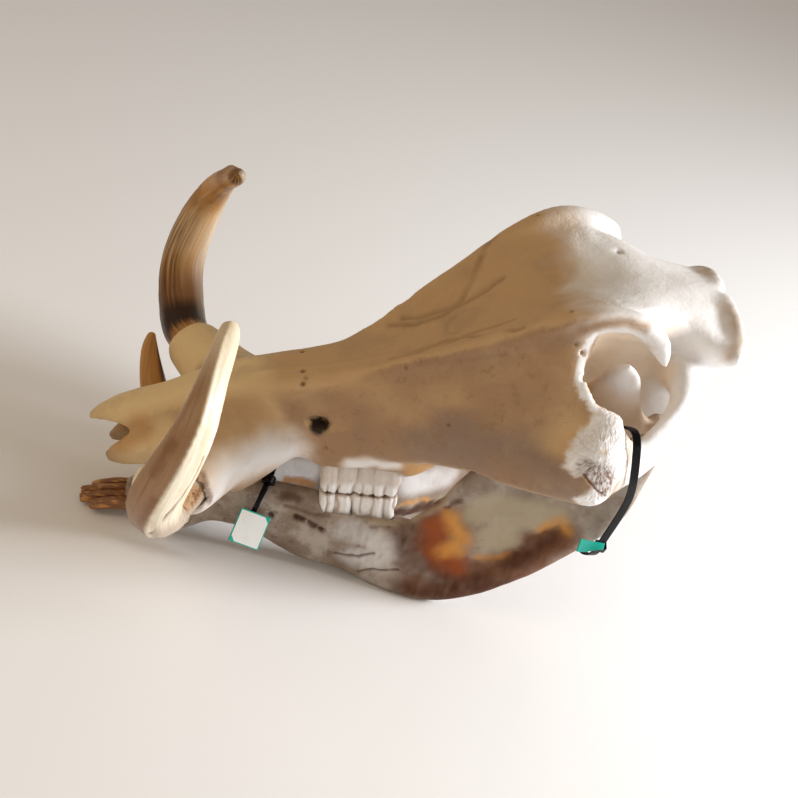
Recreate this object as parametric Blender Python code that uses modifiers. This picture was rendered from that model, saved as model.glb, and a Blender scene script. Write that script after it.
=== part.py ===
"""Skull of a male warthog: cranium, lower jaw, tusks and teeth, held together with two cable ties.

Every shape is placed in the skull's own frame: X runs back from the snout, +Y is the animal's right
side, Z is up, and the palate lies level. The finished skull is then tipped nose-down by REST_TILT
about Y, so that it stands on the two corners of its lower jaw, with the chin and the front teeth
just clear of the floor. Metres; MM turns the millimetre values below into metres.
"""
import math

import bmesh
import bpy
from mathutils import Matrix, Vector

MM = 0.001
SIDES = (("left", -1.0), ("right", 1.0))
FLOOR_BLOCK = 0.6           # size of the block, in metres, whose top is the floor

# Driving dimensions of the whole skull, in millimetres
SKULL_BACK = 185.0          # rearmost point of the crest across the back of the head
NOSE_TIP = -186.0           # front tip of the nose bones
ORBIT_X = 103.0             # middle of the eye socket, back from the face
RIM_HALF = 66.0             # half the distance between the rims above the eyes
RIM_TOP = 107.0             # height of those rims over the palate frame's zero
CHEEK_HALF = 108.0          # half the width across the cheek knobs
CREST_HALF = 60.0           # half the width of the crest across the back of the head
TUSK_SOCKET_HALF = 82.0     # mouth of each upper tusk socket, out from the middle
BITE_Z = -50.0              # level at which upper and lower teeth meet
JAW_BOTTOM = -117.0         # lowest part of the lower jaw's corner
REST_TILT = 6.5             # degrees, nose down, in which the skull stands
LOWEST_BONE = 112.3         # how far the tipped jaw's corners reach below the frame's zero
WORN_FLAT = 1.2             # depth of the flats on those corners, on which the skull stands
REST_SHIFT = 2.7            # moves the tipped skull along X, so that its middle is over the origin

GAP = 0.4                   # clearance between a tooth and its socket
TUSK_SIDES = 12
TUSK_SQUARE = 1.7           # below 2 the upper tusk's section has soft ridges instead of an oval
VOXEL = 2.4                 # grain at which the lumps of one bone are fused
CRANIUM_SHARE = 0.0385      # share of the fused faces that each bone keeps
MANDIBLE_SHARE = 0.035

INCISOR_TIPS = {"inner": -186.0, "outer": -180.0}

# Cable ties and the tags that hang on them
TIE_BROAD, TIE_THIN = 4.6, 1.4
FRONT_TIE_ROUTE = [
    (-73, -24, -46), (-77, -34, -52), (-82, -36, -66), (-85, -33, -82),
    (-86, -22, -92), (-84, -10, -86), (-79, -9, -68), (-74, -12, -50),
]
REAR_TIE_ROUTE = [
    (121, -72, -42), (123, -80, -22), (124, -89, 0), (121, -97, 19), (118, -100, 36), (117, -97, 45),
    (115, -88, 47), (104, -76, 39), (90, -66, 35), (77, -58, 33), (72, -50, 31), (73, -42, 24),
    (88, -42, -6), (103, -47, -42), (111, -51, -57), (116, -58, -62), (120, -66, -56),
]
# Tooth row, along X
ROW_FRONT = -42.0
ROW_HALF = 27.0
PREMOLAR, MOLAR, LAST_MOLAR = 8.0, 11.5, 26.0
TOOTH_HALF = 6.6            # half the thickness of a cheek tooth
UPPER_ROOT_Z = -27.0        # how far up the upper roots reach
LOWER_ROOT_Z = -70.0        # how far down the lower roots reach

BONE = ((0.80, 0.70, 0.55), 0.55)
OLD_BONE = ((0.66, 0.55, 0.42), 0.60)
IVORY = ((0.76, 0.62, 0.40), 0.30)
STAINED_IVORY = ((0.48, 0.28, 0.13), 0.35)
ENAMEL = ((0.82, 0.76, 0.66), 0.30)
BROWN_TOOTH = ((0.30, 0.16, 0.07), 0.45)
TIE_BLACK = ((0.02, 0.02, 0.03), 0.40)
TAG_TEAL = ((0.02, 0.55, 0.45), 0.45)
TAG_WHITE = ((0.90, 0.92, 0.90), 0.60)

TAG_ROUNDING = 0.3
# Name, look, middle, size and turn of each tag
TAGS = (
    ("tag_rear", TAG_TEAL, (112, -80, -42), (15, 1.2, 8), (-20, 14, 0)),
    ("tag_front", TAG_WHITE, (-83, -43, -72), (19, 1.2, 21), (-25, 20, 0)),
)


def clear_scene():
    for old in list(bpy.data.objects):
        bpy.data.objects.remove(old, do_unlink=True)


def new_collection(name):
    group = bpy.data.collections.new(name)
    bpy.context.scene.collection.children.link(group)
    return group


def material(name, look):
    colour, roughness = look
    made = bpy.data.materials.new(name)
    made.use_nodes = True
    shader = made.node_tree.nodes["Principled BSDF"]
    shader.inputs["Base Color"].default_value = (*colour, 1.0)
    shader.inputs["Roughness"].default_value = roughness
    shader.inputs["Metallic"].default_value = 0.0
    return made


def add_loft(mesh, rings):
    """A closed skin through rings of (x, y, z) in mm, with the same number of points each."""
    rows = [[mesh.verts.new(Vector(point) * MM) for point in ring] for ring in rings]
    count = len(rows[0])
    made = [mesh.faces.new(rows[0][::-1]), mesh.faces.new(rows[-1])]
    for near, far in zip(rows, rows[1:]):
        for i in range(count):
            j = (i + 1) % count
            made.append(mesh.faces.new((near[i], near[j], far[j], far[i])))
    bmesh.ops.recalc_face_normals(mesh, faces=made)
    volume = sum(face.calc_area() * face.normal.dot(face.calc_center_median()) for face in made)
    if volume < 0:
        bmesh.ops.reverse_faces(mesh, faces=made)


def smooth_between(keys, steps):
    """Catmull-Rom values through the keys, each a tuple, with this many steps between two."""
    keys = [Vector(key) for key in keys]
    ends = [keys[0] * 2 - keys[1]] + keys + [keys[-1] * 2 - keys[-2]]
    found = []
    for a, b, c, d in zip(ends, ends[1:], ends[2:], ends[3:]):
        for step in range(steps):
            t = step / steps
            found.append(
                0.5 * ((b * 2) + (c - a) * t + (a * 2 - b * 5 + c * 4 - d) * t**2
                       + (b * 3 - a - c * 3 + d) * t**3)
            )
    found.append(keys[-1])
    return found


def add_bar(mesh, stations, sides=12, steps=3, up=(0, 0, 1), grow=0.0, square=2.0):
    """A bar with an oval section. A station is x, y, z, half height and half thickness in mm.

    grow makes it that much fatter all round and longer at both ends, as a cutter needs.
    """
    keys = smooth_between(stations, steps)
    places = [Vector(key[:3]) for key in keys]
    places[0] += (places[0] - places[1]).normalized() * grow
    places[-1] += (places[-1] - places[-2]).normalized() * grow
    rings = []
    for i, key in enumerate(keys):
        ahead = places[min(i + 1, len(places) - 1)] - places[max(i - 1, 0)]
        along = ahead.normalized()
        upward = Vector(up) - along * along.dot(Vector(up))
        upward.normalize()
        across = along.cross(upward)
        ring = []
        for k in range(sides):
            turn = 2 * math.pi * k / sides
            c, s = math.cos(turn), math.sin(turn)
            blunt = (abs(c) ** square + abs(s) ** square) ** (-1 / square)
            ring.append(
                places[i]
                + upward * (c * blunt * (key[3] + grow))
                + across * (s * blunt * (key[4] + grow))
            )
        rings.append(ring)
    add_loft(mesh, rings)


def add_body(mesh, stations, steps=3):
    """A symmetric lump. A station is x and then the half outline's (y, z) from top to bottom."""
    flat = [[x] + [value for pair in outline for value in pair] for x, outline in stations]
    rings = []
    for key in smooth_between(flat, steps):
        half = [(key[1 + 2 * k], key[2 + 2 * k]) for k in range((len(key) - 1) // 2)]
        rounded = smooth_between(half, 2)
        right = [(key[0], max(p[0], 0.0), p[1]) for p in rounded]
        left = [(key[0], -y, z) for _, y, z in right[-2:0:-1]]
        rings.append(right + left)
    add_loft(mesh, rings)


def add_plate(mesh, outline, thickness, middle_y, lean_x=0.0, lean_z=0.0, side=1.0):
    """A flat plate of bone from its X-Z outline, leaning out by lean_x and lean_z mm per mm."""
    rounded = smooth_between(outline + outline[:1], 3)[:-1]
    rings = []
    for offset in (-thickness / 2, thickness / 2):
        ring = []
        for x, z in rounded:
            ring.append((x, side * (middle_y + lean_x * x + lean_z * z + offset), z))
        rings.append(ring)
    add_loft(mesh, rings)


def add_hoop(mesh, route, broad, thin, broad_way):
    """A closed strap through a loop of (x, y, z), flat side out, with its width along broad_way."""
    keys = smooth_between(route + route[:1], 2)[:-1]
    wide = Vector(broad_way).normalized()
    rows = []
    for i, key in enumerate(keys):
        along = (keys[(i + 1) % len(keys)] - keys[i - 1]).normalized()
        out = along.cross(wide).normalized()
        corners = ((-1, -1), (1, -1), (1, 1), (-1, 1))
        rows.append([
            mesh.verts.new((key + wide * (a * broad / 2) + out * (b * thin / 2)) * MM)
            for a, b in corners
        ])
    made = []
    for near, far in zip(rows, rows[1:] + rows[:1]):
        for k in range(4):
            j = (k + 1) % 4
            made.append(mesh.faces.new((near[k], near[j], far[j], far[k])))
    bmesh.ops.recalc_face_normals(mesh, faces=made)


def add_tooth(mesh, start, length, lobes, levels, side):
    """A cheek tooth of fused columns. levels are (z, share of full size) from the lowest up."""
    points = 4 * lobes + 1
    rings = []
    for z, share in levels:
        ring = []
        for k in range(2 * points):
            turn = 2 * math.pi * (k + 0.5) / (2 * points)
            along = -math.cos(turn)
            pinch = 0.86 + 0.14 * abs(math.cos(math.pi * lobes * (along + 1) / 2 + math.pi / 2))
            blunt = max(abs(math.sin(turn)), 0.0) ** 0.45
            x = start + length / 2 + along * length / 2 * share
            y = ROW_HALF + math.copysign(blunt * pinch * TOOTH_HALF * share, math.sin(turn))
            ring.append((x, y * side, z))
        rings.append(ring)
    add_loft(mesh, rings)


def mesh_object(name, mesh, group, parent):
    data = bpy.data.meshes.new(name)
    mesh.to_mesh(data)
    mesh.free()
    made = bpy.data.objects.new(name, data)
    group.objects.link(made)
    made.parent = parent
    return made


def cutter(name, mesh, group, parent):
    made = mesh_object(name, mesh, group, parent)
    made.hide_render = True
    made.display_type = "WIRE"
    return made


def cut(target, tool):
    step = target.modifiers.new("cut " + tool.name, "BOOLEAN")
    step.operation = "DIFFERENCE"
    step.solver = "EXACT"
    step.object = tool


def fuse(target, share, scoops=(), smoothing=6):
    """Fuses the overlapping lumps into one skin, scoops it, softens it and keeps a share of its faces."""
    fusing = target.modifiers.new("Fuse", "REMESH")
    fusing.mode = "VOXEL"
    fusing.voxel_size = VOXEL * MM
    if scoops:
        for tool in scoops:
            cut(target, tool)
        refining = target.modifiers.new("Refine", "REMESH")
        refining.mode = "VOXEL"
        refining.voxel_size = VOXEL * MM
    soften = target.modifiers.new("Soften", "SMOOTH")
    soften.factor = 0.5
    soften.iterations = smoothing
    fewer = target.modifiers.new("Fewer", "DECIMATE")
    fewer.ratio = share
    fewer.use_collapse_triangulate = True


def mirrored(stations, side):
    return [(x, y * side, *rest) for x, y, *rest in stations]


# Upper tusk: out of the socket, down a little, round and up, then in again at the tip
TUSK_PATH = [
    (-104, 44, -15, 13.0, 12.0),
    (-117, 68, -18, 14.5, 12.5),
    (-130, 92, -19, 15.5, 13.0),
    (-135, 117, -12, 15.5, 13.5),
    (-137, 136, 10, 15.0, 12.5),
    (-129, 145, 36, 13.5, 11.0),
    (-119, 143, 60, 11.0, 9.5),
    (-112, 123, 78, 8.0, 8.0),
    (-106, 100, 90, 6.5, 6.0),
    (-106, 94, 95, 3.5, 2.5),
]

# Lower tusks: out of the front of the lower jaw, up against the upper ones; the left one is shorter
LOWER_TUSK_PATHS = {
    "left": [
        (-121, 24, -76, 7.5, 7.5),
        (-131, 37, -69, 8.5, 8.0),
        (-140, 51, -54, 8.5, 7.5),
        (-145, 62, -37, 7.0, 6.0),
        (-146, 66, -24, 4.5, 4.0),
        (-145, 67, -17, 2.0, 2.0),
    ],
    "right": [
        (-121, 24, -76, 7.5, 7.5),
        (-132, 37, -69, 8.5, 8.0),
        (-142, 50, -54, 8.5, 7.5),
        (-149, 60, -36, 7.5, 6.0),
        (-152, 66, -17, 4.5, 3.6),
        (-151, 67, -7, 1.6, 1.4),
    ],
}


def add_face(mesh):
    """Snout, cheeks and forehead back to the eye sockets, from the nose notch on."""
    add_body(mesh, [
        (-146, [(0, -8), (9, -9), (14, -18), (15, -30), (16, -40), (12, -50), (0, -50)]),
        (-122, [(0, 4), (12, 3), (19, -6), (23, -20), (25, -35), (20, -50), (0, -48)]),
        (-98, [(0, 13), (14, 12), (21, 4), (24, -10), (28, -28), (24, -44), (0, -42)]),
        (-70, [(0, 18), (16, 18), (22, 10), (25, -4), (26, -18), (22, -32), (0, -32)]),
        (-40, [(0, 25), (18, 26), (25, 18), (29, 4), (34, -14), (33, -28), (0, -26)]),
        (-10, [(0, 35), (24, 38), (33, 31), (38, 12), (42, -8), (35, -25), (0, -22)]),
        (22, [(0, 49), (38, 57), (48, 50), (56, 26), (60, 2), (44, -16), (0, -16)]),
        (52, [(0, 66), (51, 79), (61, 70), (74, 40), (84, 8), (70, -6), (0, -6)]),
        (76, [(0, 79), (58, 96), (68, 88), (82, 56), (100, 20), (92, 0), (0, 6)]),
        (92, [(0, 86), (58, 99), (66, 92), (76, 64), (102, 26), (96, 8), (0, 12)]),
    ])


def add_nose(mesh):
    """The joined nose bones, a wedge that ends in one point over the nose opening."""
    add_body(mesh, [
        (NOSE_TIP, [(0, -29), (2, -30), (3, -31), (2, -32), (0, -32)]),
        (-176, [(0, -19), (7, -22), (9, -26), (7, -29), (0, -26)]),
        (-160, [(0, -11), (9, -13), (14, -20), (13, -27), (0, -22)]),
        (-138, [(0, -4), (11, -6), (17, -15), (15, -28), (0, -24)]),
    ])
    for _, side in SIDES:
        add_bar(mesh, mirrored([
            (-134, 13, -36, 15, 7),
            (-150, 13, -40, 13, 6.0),
            (-163, 12, -46, 9, 5.0),
            (-172, 10, -50, 4.5, 3.5),
        ], side))


def add_sockets(mesh, side):
    """The flared mouth in which an upper tusk stands, and the ridge that runs back from it."""
    add_bar(mesh, mirrored([
        (-88, 12, -16, 25, 26),
        (-100, 32, -18, 24, 24),
        (-110, 52, -20, 21, 21),
        (-119, TUSK_SOCKET_HALF - 13, -20, 19, 20),
        (-126, TUSK_SOCKET_HALF, -20, 18, 19.5),
    ], side))
    add_bar(mesh, mirrored([
        (-62, 20, -20, 12, 8),
        (-82, 30, -26, 17, 12),
        (-98, 46, -26, 20, 13),
    ], side))


def add_tooth_bed(mesh, side):
    """The thick bone in which the upper cheek teeth stand, and the palate's rear edge."""
    add_bar(mesh, mirrored([
        (-66, ROW_HALF - 5, -20, 4, 4),
        (-50, ROW_HALF - 2, -23, 8, 7),
        (-36, ROW_HALF, -26, 10, 8.6),
        (-10, ROW_HALF, -26, 11, 9),
        (8, ROW_HALF, -24, 12, 9),
        (26, ROW_HALF - 3, -14, 11, 8),
        (48, 22, -2, 9, 7),
    ], side), square=2.6)
    add_bar(mesh, mirrored([
        (26, 18, -10, 12, 5),
        (44, 17, -12, 15, 4),
        (62, 15, -4, 16, 4),
    ], side))


def add_brow(mesh, side):
    """Rim over the eye socket, with the point behind the eye that doesn't reach the cheek."""
    add_bar(mesh, mirrored([
        (-44, 15, 22, 2, 2),
        (-20, 23, 33, 3.5, 4),
        (8, 36, 50, 5, 6),
        (38, 48, 68, 7, 8),
        (66, RIM_HALF - 8, RIM_TOP - 19, 8, 9),
        (88, RIM_HALF - 3, RIM_TOP - 9, 8, 9),
        (104, RIM_HALF - 2, RIM_TOP - 7, 7.5, 8),
        (118, RIM_HALF - 1, RIM_TOP - 11, 7, 7.5),
        (128, RIM_HALF + 3, RIM_TOP - 21, 7, 6),
        (131, RIM_HALF + 8, RIM_TOP - 31, 3, 3),
    ], side))


def add_braincase(mesh):
    """Forehead between the eyes, braincase, and the back of the head with its crest."""
    add_body(mesh, [
        (58, [(0, 70), (34, 77), (40, 66), (32, 46), (26, 20), (20, 0), (0, 0)]),
        (84, [(0, 83), (46, 97), (50, 84), (36, 66), (28, 34), (20, 6), (0, 4)]),
        (104, [(0, 91), (52, 101), (54, 88), (36, 70), (29, 40), (22, 12), (0, 8)]),
        (124, [(0, 96), (46, 99), (48, 84), (32, 66), (31, 40), (26, 14), (0, 10)]),
        (144, [(0, 96), (36, 93), (40, 78), (33, 60), (38, 42), (32, 14), (0, 10)]),
        (160, [(0, 95), (40, 88), (46, 76), (40, 58), (42, 42), (32, 14), (0, 12)]),
        (172, [(0, 94), (46, 82), (52, 73), (41, 58), (34, 44), (20, 24), (0, 22)]),
        (179, [(0, 91), (46, 79), (CREST_HALF - 8, 73), (38, 64), (22, 60), (12, 56), (0, 54)]),
    ])
    for _, side in SIDES:
        add_bar(mesh, mirrored([
            (SKULL_BACK - 6, 4, 89, 6, 6),
            (SKULL_BACK - 5, 26, 85, 7, 6),
            (SKULL_BACK - 6, 44, 78, 8, 6),
            (SKULL_BACK - 8, CREST_HALF - 6, 72, 7, 5),
        ], side))


def add_cheek(mesh, side):
    """Cheek arch: the swollen knob under the eye, then the blade that rises to the jaw joint."""
    add_bar(mesh, mirrored([
        (68, 76, 18, 20, 14),
        (84, 92, 20, 20, 15),
        (98, 97, 24, 23, 14),
        (108, 94, 24, 22, 9),
        (117, 88, 20, 15, 5.5),
        (128, 83, 26, 14, 5),
        (138, 78, 37, 14, 5.5),
        (146, 71, 51, 11, 7),
        (150, 58, 57, 10, 9),
        (151, 44, 57, 12, 11),
        (150, 32, 52, 14, 12),
    ], side))
    add_bar(mesh, mirrored([
        (82, 84, 16, 18, 13),
        (94, 97, 15, 15, 12),
        (103, CHEEK_HALF - 8, 18, 14, 8),
    ], side))
    add_bar(mesh, mirrored([
        (86, 74, 66, 8, 6),
        (92, 81, 52, 9, 8),
        (101, 88, 48, 9, 8),
        (109, 91, 46, 9, 6),
    ], side))


def add_skull_base(mesh, side):
    """Condyle that meets the neck, the long process beside it, and the ear bulla."""
    add_bar(mesh, mirrored([
        (158, 10, 24, 11, 8),
        (168, 13, 24, 11, 8),
        (176, 14, 26, 7, 5),
    ], side))
    add_bar(mesh, mirrored([
        (154, 32, 30, 10, 10),
        (152, 34, 12, 8, 7),
        (149, 35, -4, 6, 5),
        (146, 36, -18, 3, 3),
    ], side), up=(1, 0, 0))
    add_bar(mesh, mirrored([
        (126, 26, 18, 9, 8),
        (134, 27, 8, 9, 8),
        (140, 27, -2, 5, 5),
    ], side), up=(1, 0, 0))


def row_of_teeth():
    """Name, start, length and columns of each cheek tooth, from the front back."""
    found = []
    start = ROW_FRONT
    kinds = (("premolar", PREMOLAR, 1), ("molar", MOLAR, 1), ("last_molar", LAST_MOLAR, 3))
    for name, length, lobes in kinds:
        found.append((name, start, length, lobes))
        start += length
    return found


def add_chin(mesh):
    """Front of the lower jaw: the fused chin, widened where the lower tusks stand in it."""
    add_body(mesh, [
        (-160, [(0, -76), (8, -77), (13, -81), (10, -86), (0, -87)]),
        (-148, [(0, -72), (14, -74), (22, -79), (17, -86), (0, -88)]),
        (-130, [(0, -66), (18, -67), (29, -76), (23, -85), (0, -88)]),
        (-114, [(0, -63), (16, -61), (26, -71), (22, -84), (0, -87)]),
        (-104, [(0, -64), (16, -58), (24, -69), (21, -84), (0, -85)]),
        (-96, [(0, -68), (15, -60), (21, -69), (19, -81), (0, -80)]),
    ])


def add_jaw_side(mesh, side):
    """One half of the lower jaw: body, upright blade with its point and hinge knob, and corner."""
    add_bar(mesh, mirrored([
        (-112, 16, -73, 12, 9),
        (-92, 20, -69, 16, 9),
        (-76, 23, -68, 19, 9),
        (-48, 26, -77, 26, 9),
        (-18, 29, -84, 24, 10),
        (10, 34, -88, 24, 11),
        (34, 41, -84, 21, 9),
        (58, 48, -72, 16, 6),
    ], side), square=2.5)
    add_plate(mesh, [
        (6, -68), (24, -46), (39, -22), (58, 4), (82, 34), (100, 58), (110, 68), (118, 70),
        (124, 62), (126, 48), (131, 38), (137, 34), (144, 34), (144, 20), (139, -6), (131, -30),
        (118, -45), (102, -60), (84, -78), (64, -96), (38, -110), (14, -115), (-2, -108), (-4, -84),
    ], 8.0, 37.0, lean_x=0.18, side=side)
    add_bar(mesh, mirrored([
        (-46, 27, -90, 3, 3),
        (-16, 31, -101, 8, 8),
        (18, 40, JAW_BOTTOM + 9, 9, 9),
        (45, 47, JAW_BOTTOM + 15, 9, 8),
        (75, 53, -82, 9, 7),
        (104, 58, -56, 8, 6),
        (124, 61, -34, 8, 6),
        (135, 62, -4, 7, 6),
        (140, 61, 24, 7, 7),
    ], side))
    add_bar(mesh, mirrored([
        (141, 50, 31, 6, 6),
        (141, 59, 32, 7, 7),
        (140, 67, 31, 6, 6),
    ], side))
    add_bar(mesh, mirrored([
        (-110, 12, -75, 12, 12),
        (-122, 24, -74, 12, 12),
        (-132, 35, -70, 12, 11),
        (-137, 41, -66, 11, 10),
    ], side))


def add_tusks(group, tools, stand, cranium, mandible, side_name, side):
    """The upper and lower tusk of one side, each in a socket cut with a slightly fatter copy."""
    pairs = (
        ("upper_tusk_", TUSK_PATH, TUSK_SQUARE, cranium, IVORY if side < 0 else STAINED_IVORY),
        ("lower_tusk_", LOWER_TUSK_PATHS[side_name], 2.0, mandible, IVORY),
    )
    for kind, path, square, bone, look in pairs:
        shape = bmesh.new()
        add_bar(shape, mirrored(path, side), sides=TUSK_SIDES, steps=2, up=(1, 0, 0), square=square)
        tusk = mesh_object(kind + side_name, shape, group, stand)
        tusk.data.materials.append(material(kind + side_name, look))
        socket = bmesh.new()
        add_bar(
            socket, mirrored(path[:6], side), sides=TUSK_SIDES, steps=2, up=(1, 0, 0),
            grow=2 * GAP, square=square,
        )
        cut(bone, cutter("socket " + kind + side_name, socket, tools, stand))


def add_cheek_teeth(group, tools, stand, cranium, mandible, side_name, side):
    """The cheek teeth of one side, each rooted in a pocket of its jaw."""
    enamel = material("enamel " + side_name, ENAMEL)
    rows = (("upper_", cranium, UPPER_ROOT_Z, 1), ("lower_", mandible, LOWER_ROOT_Z, -1))
    for row, bone, root, away in rows:
        levels = [(root, 0.84), (BITE_Z + 6 * away, 1.0), (BITE_Z + GAP / 2 * away, 0.96)]
        levels.sort()
        for name, start, length, lobes in row_of_teeth():
            shape = bmesh.new()
            add_tooth(shape, start + GAP / 2, length - GAP, lobes, levels, side)
            tooth = mesh_object(row + name + "_" + side_name, shape, group, stand)
            tooth.data.materials.append(enamel)
        deep = root + math.copysign(GAP, root - BITE_Z)
        pocket = bmesh.new()
        bmesh.ops.create_cube(pocket, size=1.0)
        size = (PREMOLAR + MOLAR + LAST_MOLAR + GAP, 2 * (TOOTH_HALF + GAP), abs(deep - BITE_Z))
        place = (ROW_FRONT + size[0] / 2 - GAP / 2, ROW_HALF * side, (deep + BITE_Z) / 2)
        bmesh.ops.scale(pocket, vec=Vector(size) * MM, verts=pocket.verts)
        bmesh.ops.translate(pocket, vec=Vector(place) * MM, verts=pocket.verts)
        cut(bone, cutter("pocket " + row + side_name, pocket, tools, stand))


def add_openings(tools, stand, cranium):
    """Nose passage, the opening for the spinal cord, and the nerve hole on each side of the face."""
    passage = bmesh.new()
    add_bar(passage, [(-185, 0, -36, 7, 9), (-150, 0, -33, 10, 10), (-112, 0, -26, 9, 9)])
    cut(cranium, cutter("nose passage", passage, tools, stand))
    cord_hole = bmesh.new()
    add_bar(cord_hole, [(190, 0, 42, 9, 10), (150, 0, 40, 8, 9)])
    cut(cranium, cutter("cord hole", cord_hole, tools, stand))
    for name, side in SIDES:
        nerve_hole = bmesh.new()
        add_bar(nerve_hole, mirrored([(-58, 42, -5, 5, 6), (-46, 30, -1, 5, 6), (-30, 17, 3, 3, 4)], side))
        cut(cranium, cutter("nerve hole " + name, nerve_hole, tools, stand))


def add_incisors(group, tools, stand, mandible):
    """Four worn front teeth that lie forward out of the chin."""
    brown = material("stained tooth", BROWN_TOOTH)
    for name, y in (("inner", 3.6), ("outer", 10.4)):
        for side_name, side in SIDES:
            tip = INCISOR_TIPS[name]
            path = mirrored([
                (-146, y, -83, 4.0, 2.8),
                (-164, y, -83, 4.4, 3.0),
                (tip + 6, y * 0.97, -85, 4.0, 3.0),
                (tip, y * 0.95, -86, 3.0, 2.8),
            ], side)
            shape = bmesh.new()
            add_bar(shape, path, sides=8, steps=2, square=3.0)
            tooth = mesh_object(f"lower_incisor_{name}_{side_name}", shape, group, stand)
            tooth.data.materials.append(brown)
            pocket = bmesh.new()
            add_bar(pocket, path, sides=8, steps=2, square=3.0, grow=GAP)
            cut(mandible, cutter(f"pocket {name} {side_name}", pocket, tools, stand))


def add_ties(group, stand):
    """Two black cable ties that hold the jaws together, and the tags on them."""
    black = material("tie black", TIE_BLACK)
    front = bmesh.new()
    add_hoop(front, FRONT_TIE_ROUTE, TIE_BROAD, TIE_THIN, (1.0, 0.0, 0.55))
    rear = bmesh.new()
    add_hoop(rear, REAR_TIE_ROUTE, TIE_BROAD, TIE_THIN, (1.0, -0.1, 0.1))
    for name, shape in (("cable_tie_front", front), ("cable_tie_rear", rear)):
        tie = mesh_object(name, shape, group, stand)
        tie.data.materials.append(black)
    for name, look, place, size, turn in TAGS:
        bpy.ops.mesh.primitive_cube_add(size=1.0)
        tag = bpy.context.object
        tag.name = name
        tag.data.name = name
        tag.data.transform(Matrix.Diagonal((*(value * MM for value in size), 1.0)))
        for other in list(tag.users_collection):
            other.objects.unlink(tag)
        group.objects.link(tag)
        tag.parent = stand
        tag.location = Vector(place) * MM
        tag.rotation_euler = [math.radians(value) for value in turn]
        rounding = tag.modifiers.new("Rounding", "BEVEL")
        rounding.width = TAG_ROUNDING * MM
        rounding.segments = 1
        tag.data.materials.append(material(name, look))


def head_scoops(tools, stand):
    """The hollows of the eye sockets and the dish in the back of the head, as egg-shaped tools."""
    eggs = [("nape", (199, 0, 58), (24, 34, 24))]
    for name, side in SIDES:
        eggs.append(("eye socket " + name, (ORBIT_X - 2, side * 60, 48), (25, 25, 36)))
        eggs.append(("cheek hollow " + name, (75, side * 58, 12), (42, 21, 48)))
    made = []
    for name, place, size in eggs:
        egg = bmesh.new()
        bmesh.ops.create_uvsphere(egg, u_segments=24, v_segments=14, radius=1.0)
        bmesh.ops.scale(egg, vec=[value * MM for value in size], verts=egg.verts)
        bmesh.ops.translate(egg, vec=[value * MM for value in place], verts=egg.verts)
        made.append(cutter("scoop " + name, egg, tools, stand))
    return made


def plane_feet(tools, mandible):
    """Planes a small flat on each corner of the jaw, where the skull stands."""
    floor = bmesh.new()
    bmesh.ops.create_cube(floor, size=FLOOR_BLOCK)
    bmesh.ops.translate(floor, vec=(0, 0, -FLOOR_BLOCK / 2), verts=floor.verts)
    cut(mandible, cutter("floor", floor, tools, None))


def build():
    clear_scene()
    group = new_collection("Warthog skull")
    tools = new_collection("Cutters")
    stand = bpy.data.objects.new("skull", None)
    stand.matrix_world = (
        Matrix.Translation(Vector((REST_SHIFT, 0, LOWEST_BONE - WORN_FLAT)) * MM)
        @ Matrix.Rotation(-math.radians(REST_TILT), 4, "Y")
    )
    group.objects.link(stand)

    skull = bmesh.new()
    add_face(skull)
    add_nose(skull)
    add_braincase(skull)
    for _, side in SIDES:
        add_sockets(skull, side)
        add_tooth_bed(skull, side)
        add_brow(skull, side)
        add_cheek(skull, side)
        add_skull_base(skull, side)
    cranium = mesh_object("cranium", skull, group, stand)
    cranium.data.materials.append(material("bone", BONE))
    fuse(cranium, CRANIUM_SHARE, head_scoops(tools, stand))

    jaw = bmesh.new()
    add_chin(jaw)
    for _, side in SIDES:
        add_jaw_side(jaw, side)
    mandible = mesh_object("mandible", jaw, group, stand)
    mandible.data.materials.append(material("old bone", OLD_BONE))
    fuse(mandible, MANDIBLE_SHARE)

    for side_name, side in SIDES:
        add_tusks(group, tools, stand, cranium, mandible, side_name, side)
        add_cheek_teeth(group, tools, stand, cranium, mandible, side_name, side)
    add_openings(tools, stand, cranium)
    add_incisors(group, tools, stand, mandible)
    add_ties(group, stand)
    plane_feet(tools, mandible)


build()
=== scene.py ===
# %% [markdown]
# # A warthog skull in Blender
#
# The solids of this skull are already there: faceted, closed and at their real size. This lesson
# turns them into dry bone, ivory and nylon. Each bone is copied, made smooth, and then worked on
# as a sculptor would: grooves and holes are pressed in, ridges and rough patches are raised. Colour
# comes last, from patterns that the computer works out, never from a picture.

# %% Load the model
import math

import bpy
import numpy as np
from mathutils import Matrix, Vector, noise
from mathutils.bvhtree import BVHTree


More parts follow.
